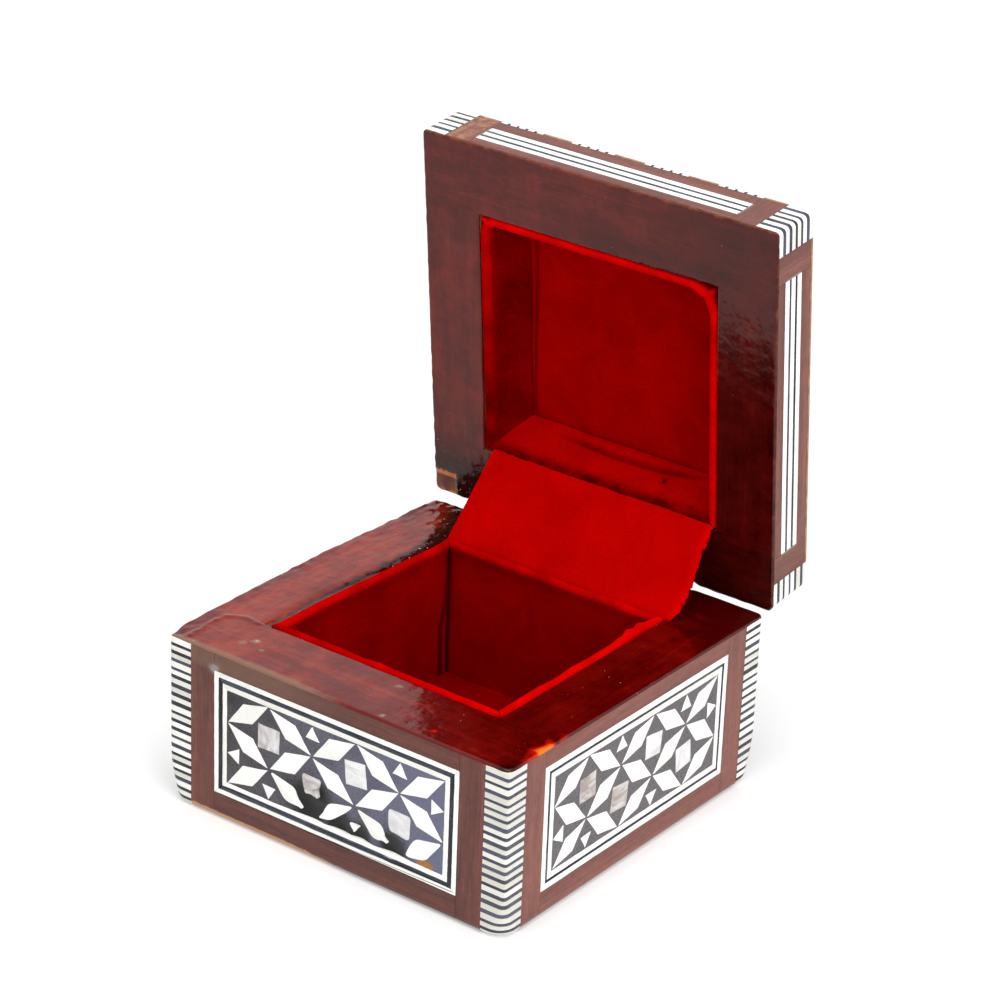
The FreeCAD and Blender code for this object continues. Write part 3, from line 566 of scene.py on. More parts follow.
def pearl(name, colours):
    """Shell cut flat: soft bands of grey, pink and green, with a shine of its own."""
    made = Finish(name)
    layers = made.noise((0.2, 0.4, 0.3), 4.0, 0.55, 1.0)
    veins = made.noise((0.3, 1.6, 1.0), 3.0, 0.5, 0.8)
    stops = [(0.25 + 0.125 * index, colour) for index, colour in enumerate(colours)]
    colour = made.ramp(made.weigh((layers, 1), (made.field("tone"), 0.3)), *stops)
    return made.shade(
        Base_Color=made.cover(colour, colours[-1], veins, 0.55, 0.75, 0.3), Roughness=0.22, Coat_Weight=0.8,
        Coat_Roughness=0.06, Normal=made.bump(layers, 0.03, 0.5))


def resin(name, dark, dusty, blue):
    """Black filler round the inlay, scraped level and varnished, with dust in its hollows."""
    made = Finish(name)
    clouds = made.noise(0.12, 3.0)
    grit = made.noise(1.8, 4.0, 0.65)
    dust = made.band(made.weigh((clouds, 0.7), (grit, 0.3)), 0.3, 0.8)
    dust = made.weigh((dust, 1), (made.field("tone"), 1))
    colour = made.mix(dust, dark, made.mix(made.field("lump"), dusty, blue))
    colour = made.cover(colour, BARE, made.weigh((made.field("wear"), 1), (grit, 0.5)), 0.8, 1.0)
    return made.shade(
        Base_Color=colour, Roughness=made.band(grit, 0.3, 0.7, 0.22, 0.4), Specular_IOR_Level=0.3,
        Normal=made.bump(grit, 0.03, 0.4))


def velvet(name, deep, bright):
    """Short cotton pile in brushed patches; its tone field carries painted shade in corners, creases and
    shaded walls, and painted highlights on rolled edges.
    """
    made = Finish(name, False)
    brushed = made.noise(0.1, 3.0, 0.55, 0.6)
    pile = made.noise(3.2, 3.0, 0.7)
    pile_and_painted_light = made.weigh((brushed, 0.35), (pile, 0.3), (made.field("tone"), 1))
    return made.shade(
        Base_Color=made.cover(deep, bright, pile_and_painted_light, -0.05, 0.95), Roughness=1.0, Specular_IOR_Level=0.0,
        Sheen_Weight=0.5, Sheen_Roughness=0.4, Sheen_Tint=rgb(255, 0, 0), Normal=made.bump(pile, 0.12, 0.5))


def brass(name, bright, dull):
    """Stained brass with fine scratches."""
    made = Finish(name, False)
    stain = made.noise(0.5, 4.0, 0.6)
    scratches = made.noise((0.4, 9.0, 9.0), 2.0)
    return made.shade(
        Base_Color=made.cover(bright, dull, stain, 0.4, 0.7), Metallic=1.0,
        Roughness=made.band(stain, 0.3, 0.7, 0.25, 0.5), Normal=made.bump(scratches, 0.01, 0.4))


PEARL_COLOURS = [
    rgb(150, 135, 127), rgb(186, 177, 173), rgb(209, 206, 205), rgb(221, 221, 221), rgb(238, 236, 234)]
FINISHES = {
    "veneer": wood("veneer_finish", rgb(58, 24, 18), rgb(104, 51, 39), rgb(142, 82, 66), 0.3, 0.4),
    "lacquer": lacquer("lacquer_finish", rgb(62, 1, 0), rgb(100, 6, 3), rgb(146, 40, 22), 0.15, RUBBED_RED_AND_GLINT),
    "bone": bone("bone_finish", rgb(254, 254, 250), rgb(212, 208, 197)),
    "pearl": pearl("pearl_finish", PEARL_COLOURS),
    "filler": resin("resin_finish", rgb(14, 11, 11), rgb(92, 87, 90), rgb(100, 102, 126)),
    "dark_wood": resin("dark_slip_finish", rgb(14, 14, 22), rgb(70, 74, 92), rgb(90, 94, 112)),
    "velvet": velvet("velvet_finish", rgb(70, 0, 0), rgb(235, 2, 2)),
}
LID_LACQUER = lacquer("lid_lacquer_finish", rgb(42, 2, 1), rgb(74, 8, 6), rgb(110, 26, 18), 0.16, THIN)
RAW_WOOD = wood("raw_wood_finish", rgb(168, 132, 98), rgb(205, 172, 136), rgb(222, 196, 164), 0.6, 0.3, False)
CORE_WOOD = wood("core_wood_finish", rgb(110, 70, 44), rgb(150, 104, 70), rgb(176, 132, 94), 0.55, 0.3, False)
BRASS = brass("brass_finish", rgb(214, 170, 92), rgb(120, 88, 48))


# Marquetry panels
def rhombus(start, end):
    middle = (start + end) / 2
    along = (end - start).normalized()
    across = Vector((-along.y, along.x)) * RHOMBUS_WIDTH / 2
    tip = along * ((end - start).length / 2 - TIP_GAP)
    return [tuple(point) for point in (middle - tip, middle - across, middle + tip, middle + across)]


def triangle(node, outward):
    tip = node - outward * TRIANGLE_GAP
    foot = tip - outward * TRIANGLE_HEIGHT
    across = Vector((-outward.y, outward.x)) * TRIANGLE_BASE / 2
    return [tuple(point) for point in (tip, foot + across, foot - across)]


def square(node):
    turn = Matrix.Rotation(math.radians(draw.uniform(-6, 6)), 2)
    half = PEARL_SIDE / 2
    return [tuple(node + turn @ Vector(corner)) for corner in rectangle(-half, half, -half, half)]


def lattice(low, high, cells):
    """Outlines of the bone and of the pearl pieces of a lattice."""
    columns, rows = cells
    step = Vector(((high.x - low.x) / columns, (high.y - low.y) / rows))

    def node(column, row):
        return Vector((low.x + step.x * column, low.y + step.y * row))

    bones = []
    pearls = []
    for column in range(columns):
        for row in range(rows):
            if (column + row) % 2 == 0:
                bones.append(rhombus(node(column, row), node(column + 1, row + 1)))
            else:
                bones.append(rhombus(node(column + 1, row), node(column, row + 1)))
    for column in range(columns + 1):
        for row in range(rows + 1):
            at_side = column in (0, columns)
            at_end = row in (0, rows)
            if (column + row) % 2 == 0 or (at_side and at_end):
                continue
            if at_side:
                bones.append(triangle(node(column, row), Vector((1 if column else -1, 0))))
            elif at_end:
                bones.append(triangle(node(column, row), Vector((0, 1 if row else -1))))
            else:
                pearls.append(square(node(column, row)))
    return bones, pearls


def frame_strips(low, high, width):
    outer = rectangle(low.x, high.x, low.y, high.y)
    inner = rectangle(low.x + width, high.x - width, low.y + width, high.y - width)
    return [[a, b, d, c] for (a, b), (c, d) in zip(sides(outer), sides(inner))]


def eaten(outline, worn):
    """Outline drawn in towards its middle where it is worn."""
    middle = sum((Vector(point) for point in outline), Vector((0, 0))) / len(outline)
    return [tuple(Vector(point).lerp(middle, 0.55 * worn(*point))) for point in outline]


def worn_round(outline, times):
    """Outline with its corners rubbed off."""
    for _ in range(times):
        cut = []
        for start, end in sides(outline):
            for share in (0.25, 0.75):
                cut.append((start[0] + share * (end[0] - start[0]), start[1] + share * (end[1] - start[1])))
        outline = cut
    return outline


PANEL_SLOTS = {
    "bone_pieces": "bone",
    "pearl_squares": "pearl",
    "stringing_bone": "bone",
    "stringing_dark": "dark_wood",
}
PANEL_GRID = (110, 50)
HOLLOW_DEPTH = 0.7
# How far corners and sides of the inlay are off
BONE_SLACK = (0.12, 0.04)
PEARL_SLACK = (0.2, 0.06)
LINE_SLACK = 0.03
ROUGH_LINE = 0.12
STRING_PIECES = 24


def panel_kinds(prefix):
    """Pieces for the bone, pearl and stringing of the panels."""
    return {name: Pieces(f"{prefix}_{name}", slot) for name, slot in PANEL_SLOTS.items()}


def add_panel(kinds, place, low, high, cells, depth, look):
    """Ground, bone, pearl and framing lines of one panel, whose ground lies between low and high.

    Dust on the ground, and the blue in it, go from its left end to its right end. A hollow, given by its
    place and reach, is where filler has fallen out and the pieces beside it have worn; its ground has the
    dust taken out so that it shows dark, as painted shade.
    """
    hollows = look["hollows"]

    def worn(u, v):
        return max(spots(u, v, hollows), default=0.0)

    def inlay(kind, outline, slack, tone):
        cut = hand_cut(outline, *slack)
        if max(worn(*point) for point in outline) > 0.3:
            cut = worn_round(eaten(cut, worn), 2)
        kinds[kind].add(slab(cut, draw.uniform(-0.05, 0.0), depth), place, draw.choice((0, 1)), tone=tone)

    def height(u, v):
        return 0.04 * ripple(u, v, 0.5, depth) - 0.1 - HOLLOW_DEPTH * worn(u, v)

    def from_ends(ends, u):
        return ends[0] + (ends[1] - ends[0]) * (u - low.x) / (high.x - low.x)

    # Dust from end to end, taken out of the hollows so that they show dark, as painted shade
    def dusty(u, v):
        return from_ends(look["dust"], u) - 1.8 * worn(u, v)

    def blue(u, v):
        return max(0.0, from_ends(look["blue"], u))

    def bare(u, v):
        return sum(math.exp(-((u - x) ** 2 + 3 * (v - y) ** 2) / reach ** 2) for x, y, reach in look["bare"])

    bones, pearls = lattice(low, high, cells)
    for outline in bones:
        inlay("bone_pieces", outline, BONE_SLACK, draw.uniform(-0.6, 0.2))
    for index, outline in enumerate(pearls):
        spread = draw.uniform(-0.5, 0.5)
        inlay("pearl_squares", outline, PEARL_SLACK, look["pearls"][index] if look["pearls"] else spread)
    us = steps(low.x, high.x, PANEL_GRID[0])
    vs = steps(low.y, high.y, PANEL_GRID[1])
    kinds["ground"].add(grid_form(us, vs, height, -depth), place, tone=dusty, wear=bare, lump=blue)
    edge = Vector((0, 0))
    for kind, width in zip(("stringing_bone", "stringing_dark", "stringing_bone"), look["strings"]):
        edge += Vector((width, width))
        for index, outline in enumerate(frame_strips(low - edge, high + edge, width)):
            rough = ROUGH_LINE if hollows and index == 0 else LINE_SLACK
            cut = hand_cut(outline, LINE_SLACK, rough, STRING_PIECES)
            piece = slab(cut, draw.uniform(-0.06, -0.03), depth)
            kinds[kind].add(piece, place, index % 2, tone=draw.uniform(-0.4, 0.3))


# Veneer boards
def veneer_board(pieces, place, box, drop, along, **fields):
    """Board between box's limits; drop says how far its face falls away at a height."""
    u_low, u_high, v_low, v_high = box
    us = steps(u_low + JOINT, u_high - JOINT, max(6, round((u_high - u_low) / 1.2)))
    vs = steps(v_low + JOINT, v_high - JOINT, max(4, round((v_high - v_low) / 0.6)))

    def height(u, v):
        return 0.02 * ripple(u, v, 0.4, 3.0) - 0.03 - drop(v)

    pieces.add(grid_form(us, vs, height, -SKIN), place, along, **fields)


def framed_boards(node, place, outer, inner, drop, tone, wear):
    """Two stiles the full height with upright grain, and two rails between them."""
    pieces = Pieces(node, "veneer")
    u_low, u_high, v_low, v_high = outer
    a_low, a_high, b_low, b_high = inner
    boards = [
        ((u_low, a_low, v_low, v_high), 1),
        ((a_high, u_high, v_low, v_high), 1),
        ((a_low, a_high, v_low, b_low), 0),
        ((a_low, a_high, b_high, v_high), 0),
    ]
    for box, along in boards:
        veneer_board(pieces, place, box, drop, along, tone=tone + draw.uniform(-0.15, 0.15), wear=wear)
    pieces.build()


# Corner slips
SLIP_STEPS = 8
NEAR_CORNER = 2


def corner_slip(low, high, drop, size):
    """One slip of a corner stack, drawn from its outer corner inward."""
    tilt = (draw.uniform(-0.008, 0.008), draw.uniform(-0.008, 0.008))
    side = steps(CORNER, 0.0, SLIP_STEPS)
    rings = []
    ends = [(low, BEVEL), (low + BEVEL, 0.0), (high - BEVEL, 0.0), (high, BEVEL)]
    middle = [(low + (high - low) * share, 0.0) for share in (0.25, 0.5, 0.75)]
    for level, extra in sorted(ends + middle):
        inset = drop(level) + extra
        turn = size(level)
        ring = []
        for a, b in [(0.0, reach) for reach in side] + [(reach, 0.0) for reach in side[-2::-1]]:
            a, b = ease_corner(a, b, turn)
            ring.append((min(CORNER, a + inset), min(CORNER, b + inset)))
        ring.append((CORNER, CORNER))
        rings.append([(a, b, level + tilt[0] * a + tilt[1] * b) for a, b in ring])
    return loft(rings)


def slip_levels(start, end, bone_step, dark_step):
    """Levels of a stack from bone at start to bone at end, each slip a little uneven."""
    pairs = int((abs(end - start) - bone_step) / (bone_step + dark_step))
    spans = []
    for _ in range(pairs):
        spans += [bone_step * draw.uniform(0.85, 1.15), dark_step * draw.uniform(0.7, 1.3)]
    spans.append(bone_step)
    scale = (end - start) / sum(spans)
    levels = [start]
    for length in spans:
        levels.append(levels[-1] + length * scale)
    return levels


def corner_frames(area, body):
    """Drawing frames of the upright corners, with both outer faces at zero."""
    half_x, y_low, y_high = area
    frames = []
    for sign_x in (-1, 1):
        for sign_y, y in ((-1, y_low), (1, y_high)):
            mirror = Matrix.Diagonal((-sign_x, -sign_y, 1, 1))
            frames.append(body @ Matrix.Translation((sign_x * half_x, y, 0)) @ mirror)
    return frames


def corner_stacks(prefix, area, start, end, drop, size, body, dust=0.0):
    """Stacks of bone and dark slips at the corners, with dust on the near one."""
    stacks = bone_and_dark(f"{prefix}_corner")
    for corner, place in enumerate(corner_frames(area, body)):
        dusty = dust if corner == NEAR_CORNER else 0.0
        levels = slip_levels(start, end, *CORNER_SLIPS)
        for index, ends in enumerate(zip(levels, levels[1:])):
            tone = draw.uniform(-0.3, 0.3) if index % 2 else draw.choice((0.0, 0.2, 0.5, 0.9))
            slip = corner_slip(*sorted(ends), drop, size)
            stacks[index % 2].add(slip, place, tone=tone + dusty, lump=dusty)
    return stacks


# Rims
INWARD = [Vector((0, 1)), Vector((-1, 0)), Vector((0, -1)), Vector((1, 0))]
CORNER_STATIONS = [0.0, 0.003, 0.006, 0.01] + steps(0.015, 0.08, 13)
RIM_STATIONS = CORNER_STATIONS + steps(0.088, 0.912, 100) + [1 - t for t in CORNER_STATIONS[:0:-1]]
RIM_BITE = 1.5
EDGE_STEPS = 8
ACROSS_STEPS = 40


def rim_section(width, top, foot, rounding):
    """Outer edge rounded over, then across the rim to its inner edge."""
    up = 1 if top > foot else -1
    section = []
    for share in steps(1.0, 0.0, EDGE_STEPS):
        depth = abs(top - foot) * share ** 1.6
        section.append((round_drop(depth, rounding), top - up * depth))
    section += [(w, top) for w in steps(rounding, width - 0.3, ACROSS_STEPS)[1:]]
    return section + [(width - 0.12, top - up * 0.04), (width, top - up * 0.2), (width, foot)]


def rim_form(area, room, top, foot, rounding, size, lift, bite):
    """Rim between its outline and the room inside it.

    The size of its upright corners, its lift and how far its outer edge is bitten go by the place.
    """
    half_x, y_low, y_high = area
    outer = rectangle(-half_x, half_x, y_low, y_high)
    inner = rectangle(-room[0], room[0], room[1], room[2])
    half_y = (y_high - y_low) / 2
    middle = (y_low + y_high) / 2
    up = 1 if top > foot else -1
    rings = []
    for (a, b), (c, d), inward in zip(sides(outer), sides(inner), INWARD):
        width = (Vector(c) - Vector(a)).dot(inward)
        section = rim_section(width, top, foot, rounding)
        for t in RIM_STATIONS:
            edge_out = Vector(a).lerp(Vector(b), t)
            edge_in = Vector(c).lerp(Vector(d), t)
            ring = []
            for w, level in section:
                spot = edge_out.lerp(edge_in, w / width)
                in_x, in_y = ease_corner(half_x - abs(spot.x), half_y - abs(spot.y - middle), size(*spot))
                x = math.copysign(half_x - in_x, spot.x)
                spot = Vector((x, middle + math.copysign(half_y - in_y, spot.y - middle)))
                spot += inward * bite(*spot) * near(w, RIM_BITE)
                share = (level - foot) / (top - foot)
                ring.append((*spot, level + up * share * lift(*spot)))
            rings.append(ring)
    return loft(rings, True)


def grain_turn(room):
    """Field that is zero on the long front and back rails and one on the sides between them."""
    return lambda x, y: clamp(0.5 + min(y - room[1], room[2] - y) / 3)


# Base
def base_drop(level):
    return round_drop(level, BOTTOM_ROUND) + round_drop(RIM_TOP - level, RIM_ROUND)


def foot_turn(level):
    """Rounding of the base's upright corners, which are sanded off towards the foot."""
    return BASE_CORNER_ROUND + FOOT_TURN * near(level, FOOT_TURN_HEIGHT) ** 1.6


def foot_wear(u, v):
    return 0.7 * clamp(2 - (v - VENEER_FOOT) / 0.9)


def front_wear(u, v):
    """Front of the base: bare wood along the left of its foot, haze along the left of its top."""
    left = clamp(0.5 - u / 24)
    top = clamp((v - PANEL_HIGH.y - FRAME_WIDTH + 1) / 1.5)
    frame_corner = (u - PANEL_LOW.x + FRAME_WIDTH) ** 2 + (v - PANEL_HIGH.y - FRAME_WIDTH) ** 2
    return 1.5 * left * foot_wear(u, v) - 0.5 * left * top - 0.75 * math.exp(-frame_corner / 1.2)


PANEL_LOW = Vector((field_low.x, field_low.z))
PANEL_HIGH = Vector((field_high.x, field_high.z))
FRAME_WIDTH = 2 * BONE_LINE + DARK_LINE
STRINGS = (BONE_LINE, DARK_LINE, BONE_LINE)
PLAIN = {
    "dust": (0.0, 0.0), "blue": (0.0, 0.0), "pearls": (), "hollows": (), "bare": (), "strings": STRINGS}
# Hollows and bare patches of the front panel: along it, up it, and reach
FRONT_HOLLOWS = [(-5.4, 10.8, 3.4), (-3.0, 13.6, 1.8), (2.0, 9.0, 2.7), (5.8, 8.8, 2.5), (13.0, 9.2, 2.7)]
FRONT_BARE = [(20.4, 8.4, 2.8)]
PANEL_LOOKS = {
    "front": {
        **PLAIN, "dust": (0.05, 0.75), "blue": (0.0, 1.0), "pearls": (-0.1, -0.3, 0.6, 0.3),
        "hollows": FRONT_HOLLOWS, "bare": FRONT_BARE},
    "right": {
        **PLAIN, "dust": (0.55, 0.7), "pearls": (-0.5, -0.4, 0.6, 0.5), "strings": (1.15, 0.55, 1.2)},
    "back": {**PLAIN, "dust": (0.2, 0.4), "blue": (0.3, 0.3)},
    "left": {**PLAIN, "dust": (0.4, 0.2)},
}
# Tone of each side's veneer: the right face lighter and the front darker, as painted light and shade
SIDE_TONE_AND_LIGHT = {"front": -0.35, "right": 0.5, "back": 0.0, "left": 0.3}
SIDE_WEAR = {
    "front": front_wear, "right": lambda u, v: 0.3 * foot_wear(u, v), "back": foot_wear, "left": foot_wear}
base_kinds = panel_kinds("base")
for index, side in enumerate(SIDES):
    place = side_frame(index, HALF)
    ground = Pieces(f"base_ground_{side}", "filler")
    kinds = {**base_kinds, "ground": ground}
    add_panel(kinds, place, PANEL_LOW, PANEL_HIGH, SIDE_CELLS, SKIN, PANEL_LOOKS[side])
    ground.build()
    outer = (CORNER - HALF, HALF - CORNER, VENEER_FOOT, RIM_FOOT)
    inner = (PANEL_LOW.x - FRAME_WIDTH, PANEL_HIGH.x + FRAME_WIDTH,
             PANEL_LOW.y - FRAME_WIDTH, PANEL_HIGH.y + FRAME_WIDTH)
    framed_boards(f"base_veneer_{side}", place, outer, inner, base_drop, SIDE_TONE_AND_LIGHT[side], SIDE_WEAR[side])
build(base_kinds.values())
BASE_AREA = (HALF, -HALF, HALF)
STACK_FOOT = 0.05
NEAR_DUST = 0.45
build(corner_stacks("base", BASE_AREA, RIM_FOOT, STACK_FOOT, base_drop, foot_turn, BASE, NEAR_DUST))


LEFT_BAND = 5


def left_edge(x):
    """Share of the rough band along the outer edge of the left rim."""
    return clamp(1 - (x + HALF) / LEFT_BAND)


def base_tone_and_painted_shade(x, y):
    """Darker from left to right and darkest at the back of the right rim, as painted reflection of the dark
    lid and stay; darker at the back left, as painted shade beside the stay; and dark along the left edge.
    """
    back_right = 1.7 * max(0.0, x / HALF - 0.5) * max(0.0, y / HALF - 0.4) / 0.3
    back_left = 0.9 * fade(x + HALF - 6, y - HALF, 5)
    return -0.75 * x / HALF - back_right - back_left - 0.7 * left_edge(x)


# Marks on the base's rim: place, reach and wear, which is bare above zero, scuffed below it, then pale; the
# first and palest is a painted white glint
RIM_MARKS = [
    (-24.1, -29.6, 0.6, -2.1), (-25.7, -31.5, 0.9, -0.9), (-21.4, -31.7, 0.4, -1.5), (9.5, -36.1, 0.45, -1.6),
    (5.1, -26.2, 0.5, -1.5), (19.5, -34.8, 0.7, 0.45)]


def base_wear_and_glints(x, y):
    """Lacquer rubbed through along the right edge by the near corner, where it is also a painted orange
    glint, and scuffed along the front; with the rim's marks.
    """
    total = 0.0
    for mark_x, mark_y, reach, wear in RIM_MARKS:
        away = ((x - mark_x) ** 2 + (y - mark_y) ** 2) / reach ** 2
        total += wear * math.exp(-away * max(0.4, 1 + 1.2 * ripple(x, y, 1.4, 61.0)))
    along = y + HALF
    line = 0.15 * near(HALF - x, 0.5)
    # Patch along the right edge by the near corner: rubbed-through lacquer and a painted orange glint
    reach = clamp((along - 3) / 5, (20 - along) / 10) * (1 + 0.8 * ripple(x, y, 0.5, 67.0))
    bright = 0.78 * near(HALF - x, 3) * reach
    front = 0.9 * near(along, 2.4) * clamp(0.5 - x / 16)
    return total + max(line, bright) - front


ASKEW_FROM = -10
ROOM_OUT = -0.95
ROOM_IN = 0.6
ROOM_TURN = 7


def room_askew(y):
    """How far across the left side of the base's room stands: out at the front, in at the back."""
    return max(ROOM_OUT, min(ROOM_IN, (y - ROOM_TURN) / 17))


def askew(x, y):
    """Across-place of a point of the base, whose left side was not made square."""
    if x > ASKEW_FROM:
        return x
    inner = room_askew(y)
    outer = -clamp((26 - y) / 20, (y + HALF) / 4.5)
    share = (x + HALF) / (HALF - BASE_ROOM[0])
    if share < 1:
        return x + outer + (inner - outer) * share
    return x + inner * (x - ASKEW_FROM) / (-ASKEW_FROM - BASE_ROOM[0])


def from_left_room(x, y):
    """Distance of a point of the left rim from the rim's inner edge."""
    return room_askew(y) - BASE_ROOM[0] - x


def back_share(y):
    return max(0.0, (y + HALF) / (2 * HALF)) ** 2


def base_lump_and_shade(x, y):
    """Thick dark lacquer along the left rim's inner edge, widest at the back, and at the near corner; its
    darkness there is also painted shade beside the velvet and at the near corner.
    """
    if x > 2 - BASE_ROOM[0] or y < BASE_ROOM[1]:
        return 1.4 * math.exp(-((x - HALF) ** 2 + (y + HALF) ** 2) / 8)
    width = 1.3 + 4.2 * back_share(y) + 0.4 * max(0.0, y - 22) + 1.2 * ripple(x, y, 0.4, 51.0)
    inside = clamp(1 - from_left_room(x, y) / max(0.3, width))
    return 0.15 + 1.5 * inside


def corner_wear(x, y):
    return fade(x + HALF, y + HALF, 7)


# Crust of lacquer at the front left corner of the rim
RIDGE = [(-34.3, -36.1), (-33.6, -32.4), (-34.0, -28.7), (-33.6, -25.7), (-30.4, -24.0), (-27.4, -24.5)]


def ridge(x, y):
    """Height share of the crust at a point."""
    spot = Vector((x, y))
    nearest = 9.0
    for start, end in zip(RIDGE, RIDGE[1:]):
        along = Vector(end) - Vector(start)
        share = clamp((spot - Vector(start)).dot(along) / along.length_squared)
        nearest = min(nearest, (spot - Vector(start) - share * along).length)
    return hump(nearest, 0.5) * (1 + ripple(x, y, 0.8, 15.0))


def base_lift(x, y):
    """Lacquer that lies unevenly, is worn at the front left and falls away into the room at the left."""
    worn = corner_wear(x, y)
    crusted = fade(x + HALF - 5, y - HALF + 2, 9)
    fine = 0.02 + 0.1 * worn + 0.05 * base_lump_and_shade(x, y) + 0.2 * crusted + 0.14 * left_edge(x)
    lumps = 0.06 * ripple(x, y, 0.16, 9.0) + fine * ripple(x, 0.6 * y, 0.8, 3.0)
    run = near(from_left_room(x, y), 1.8 + 2.2 * back_share(y))
    fall = 0.45 * run ** 2 if x < 1 - BASE_ROOM[0] and y > BASE_ROOM[1] else 0.0
    return max(-0.45, min(0.35, lumps - 0.25 * worn - fall - 0.03 + 0.2 * ridge(x, y)))


LIP = 0.78
LIP_DEPTH = 2
LIP_START = 20.5


def back_lip(x, from_edge, half):
    """How far the rims stand out towards each other over the hinge line, to the right of the stay."""
    if from_edge > LIP_DEPTH:
        return 0.0
    return LIP * clamp((x - LIP_START) / 2, half - x)


def base_bite(x, y):
    """How far the outer edge of the base's rim is worn away."""
    back_left = fade(x + HALF, y - HALF, 10)
    left = 0.25 if x < 0 and abs(y) < HALF - 1 else 0.08
    worn = (left + 0.5 * back_left) * (ripple(x, y, 0.45, 23.0) + 0.5) + 0.2 * corner_wear(x, y)
    return max(0.0, worn) - back_lip(x, HALF - y, HALF)


NEAR_ROUND = 1.6
BACK_LEFT_ROUND = 2.4


def rim_corner(x, y):
    """Rounding of the base rim's upright corners, worn at the near one and at the back left one."""
    if x * y > 0:
        return BASE_CORNER_ROUND
    return NEAR_ROUND if x > 0 else BACK_LEFT_ROUND


base_rim = Pieces("base_rim_veneer", "lacquer")
points, faces = rim_form(
    BASE_AREA, BASE_ROOM, RIM_TOP, RIM_FOOT, RIM_ROUND, rim_corner, base_lift, base_bite)
base_rim.add(
    ([(askew(x, y), y, z) for x, y, z in points], faces), BASE,
    tone=base_tone_and_painted_shade, wear=base_wear_and_glints, lump=base_lump_and_shade, turn=grain_turn(BASE_ROOM))
base_rim.build()


# Lid
LID_AREA = (LID_HALF, LID_MIDDLE - LID_HALF_DEPTH, LID_MIDDLE + LID_HALF_DEPTH)
LID_LINES = 5
LINE_PIECES = 14
LID_SIDE_TONE = 0.2
SMEAR_REACH = 0.6


def face_spans(index, x, y):
    """Half length of a side and half span to it, from half sizes along x and y."""
    return (x, y) if index % 2 == 0 else (y, x)


def lid_drop(level):
    return round_drop(LID_TOP - level, LID_TOP_ROUND)


# Worn top edge of a lid side: bare wood, and a painted orange highlight where the edge rounds over
def edge_wear_and_highlight(u, v):
    return 0.5 * near(LID_SKIN_FOOT - v, 1.2)


def line_ends(reach, low, high, wear):
    """Wear of a lid side, with filler smeared round the ends of its lines."""
    def worn(u, v):
        if low < v < high and 0 < abs(u) - reach < SMEAR_REACH:
            return -1.0
        return wear(u, v)

    return worn


def lid_front_wear(u, v):
    """Front of the lid, whose left stile is rubbed to bare wood."""
    left_stile = 0.45 if u < CORNER + LINE_INSET - LID_HALF - 5 else 0.0
    return max(left_stile, edge_wear_and_highlight(u, v))


LID_WEAR_AND_HIGHLIGHT = {"front": lid_front_wear, "right": edge_wear_and_highlight, "back": edge_wear_and_highlight, "left": edge_wear_and_highlight}
lines = bone_and_dark("lid_line")
for index, side in enumerate(SIDES):
    half_face, half_span = face_spans(index, LID_HALF, LID_HALF_DEPTH)
    place = side_frame(index, half_span, LID_MIDDLE, LID)
    reach = half_face - LINE_INSET
    level = line_low.z
    for line in range(LID_LINES):
        width = LINE_SLIPS[line % 2]
        outline = rectangle(-reach, reach, level, level + width)
        cut = hand_cut(outline, LINE_SLACK, LINE_SLACK, LINE_PIECES)
        piece = slab(cut, draw.uniform(-0.03, 0.0), SKIN)
        lines[line % 2].add(piece, place, tone=draw.uniform(-0.5, 0.2))
        level += width
    outer = (CORNER - half_face, half_face - CORNER, LID_RAIL_FOOT, LID_SKIN_FOOT)
    inner = (-reach, reach, line_low.z, level)
    wear = line_ends(reach, line_low.z, level, LID_WEAR_AND_HIGHLIGHT[side])
    framed_boards(f"lid_veneer_{side}", place, outer, inner, lid_drop, LID_SIDE_TONE, wear)
build(lines)
lid_corners = corner_stacks(
    "lid", LID_AREA, LID_RAIL_FOOT, LID_SKIN_FOOT, lid_drop, lambda level: LID_CORNER_ROUND, LID)
CHIP = (5.2, 4.6)


def chip_depth(x, y):
    """How far a point lies inside the chipped corner by the hinge, below zero outside it."""
    return min(CHIP[0] - x - LID_HALF, CHIP[1] - LID_AREA[2] + y)


def lid_lift(x, y):
    """Lacquer that lies unevenly and has come off the chip."""
    lumps = 0.05 * ripple(x, y, 0.16, 19.0) + (0.02 + 0.05 * lid_lump_and_shade(x, y)) * ripple(x, y, 0.7, 13.0)
    return max(-0.45, lumps - 0.03 - (0.3 if chip_depth(x, y) > 0 else 0.0))


def lid_wear_and_highlight(x, y):
    """Lacquer rubbed through along the sides, and the bare edge of the chip, whose bright band inside its
    edge is also a painted highlight.
    """
    edge = 0.3 * near(LID_HALF - abs(x), 0.8)
    front = 0.4 * near(y - LID_AREA[1], 0.9)
    if chip_depth(x, y) < 0:
        return max(edge, front)
    below = CHIP[1] - LID_AREA[2] + y
    # Bright band just inside the chip's edge: bare wood and a painted highlight
    bare = 1.3 * hump(below - 0.4, 0.6)
    return max(bare, 0.12 + 0.1 * below + 0.3 * ripple(x, y, 0.6, 79.0))


def lid_lump_and_shade(x, y):
    """Dimpled lacquer towards the hinge on the left, at the front corners and along the velvet; its darkness
    is also painted dark reflection by the hinge and painted shade along the velvet.
    """
    if chip_depth(x, y) > 0:
        return 0.0
    hinge = 2.2 * max(0.0, -x / LID_HALF) * max(0.0, 1 + y / 26) ** 2
    corner = 0.4 * fade(LID_HALF - abs(x), y - LID_AREA[1], 6)
    rough = 0.6 + 1.6 * ripple(x, y, 0.35, 71.0)
    beside = near(abs(LID_ROOM[1] - y), 1.2 * rough + 0.2) if x > -8 and abs(x) < 30 else 0.0
    return max(hinge, corner * (1 + 2 * ripple(x, y, 0.3, 73.0)), 0.9 * beside if rough > 0.3 else 0.0)


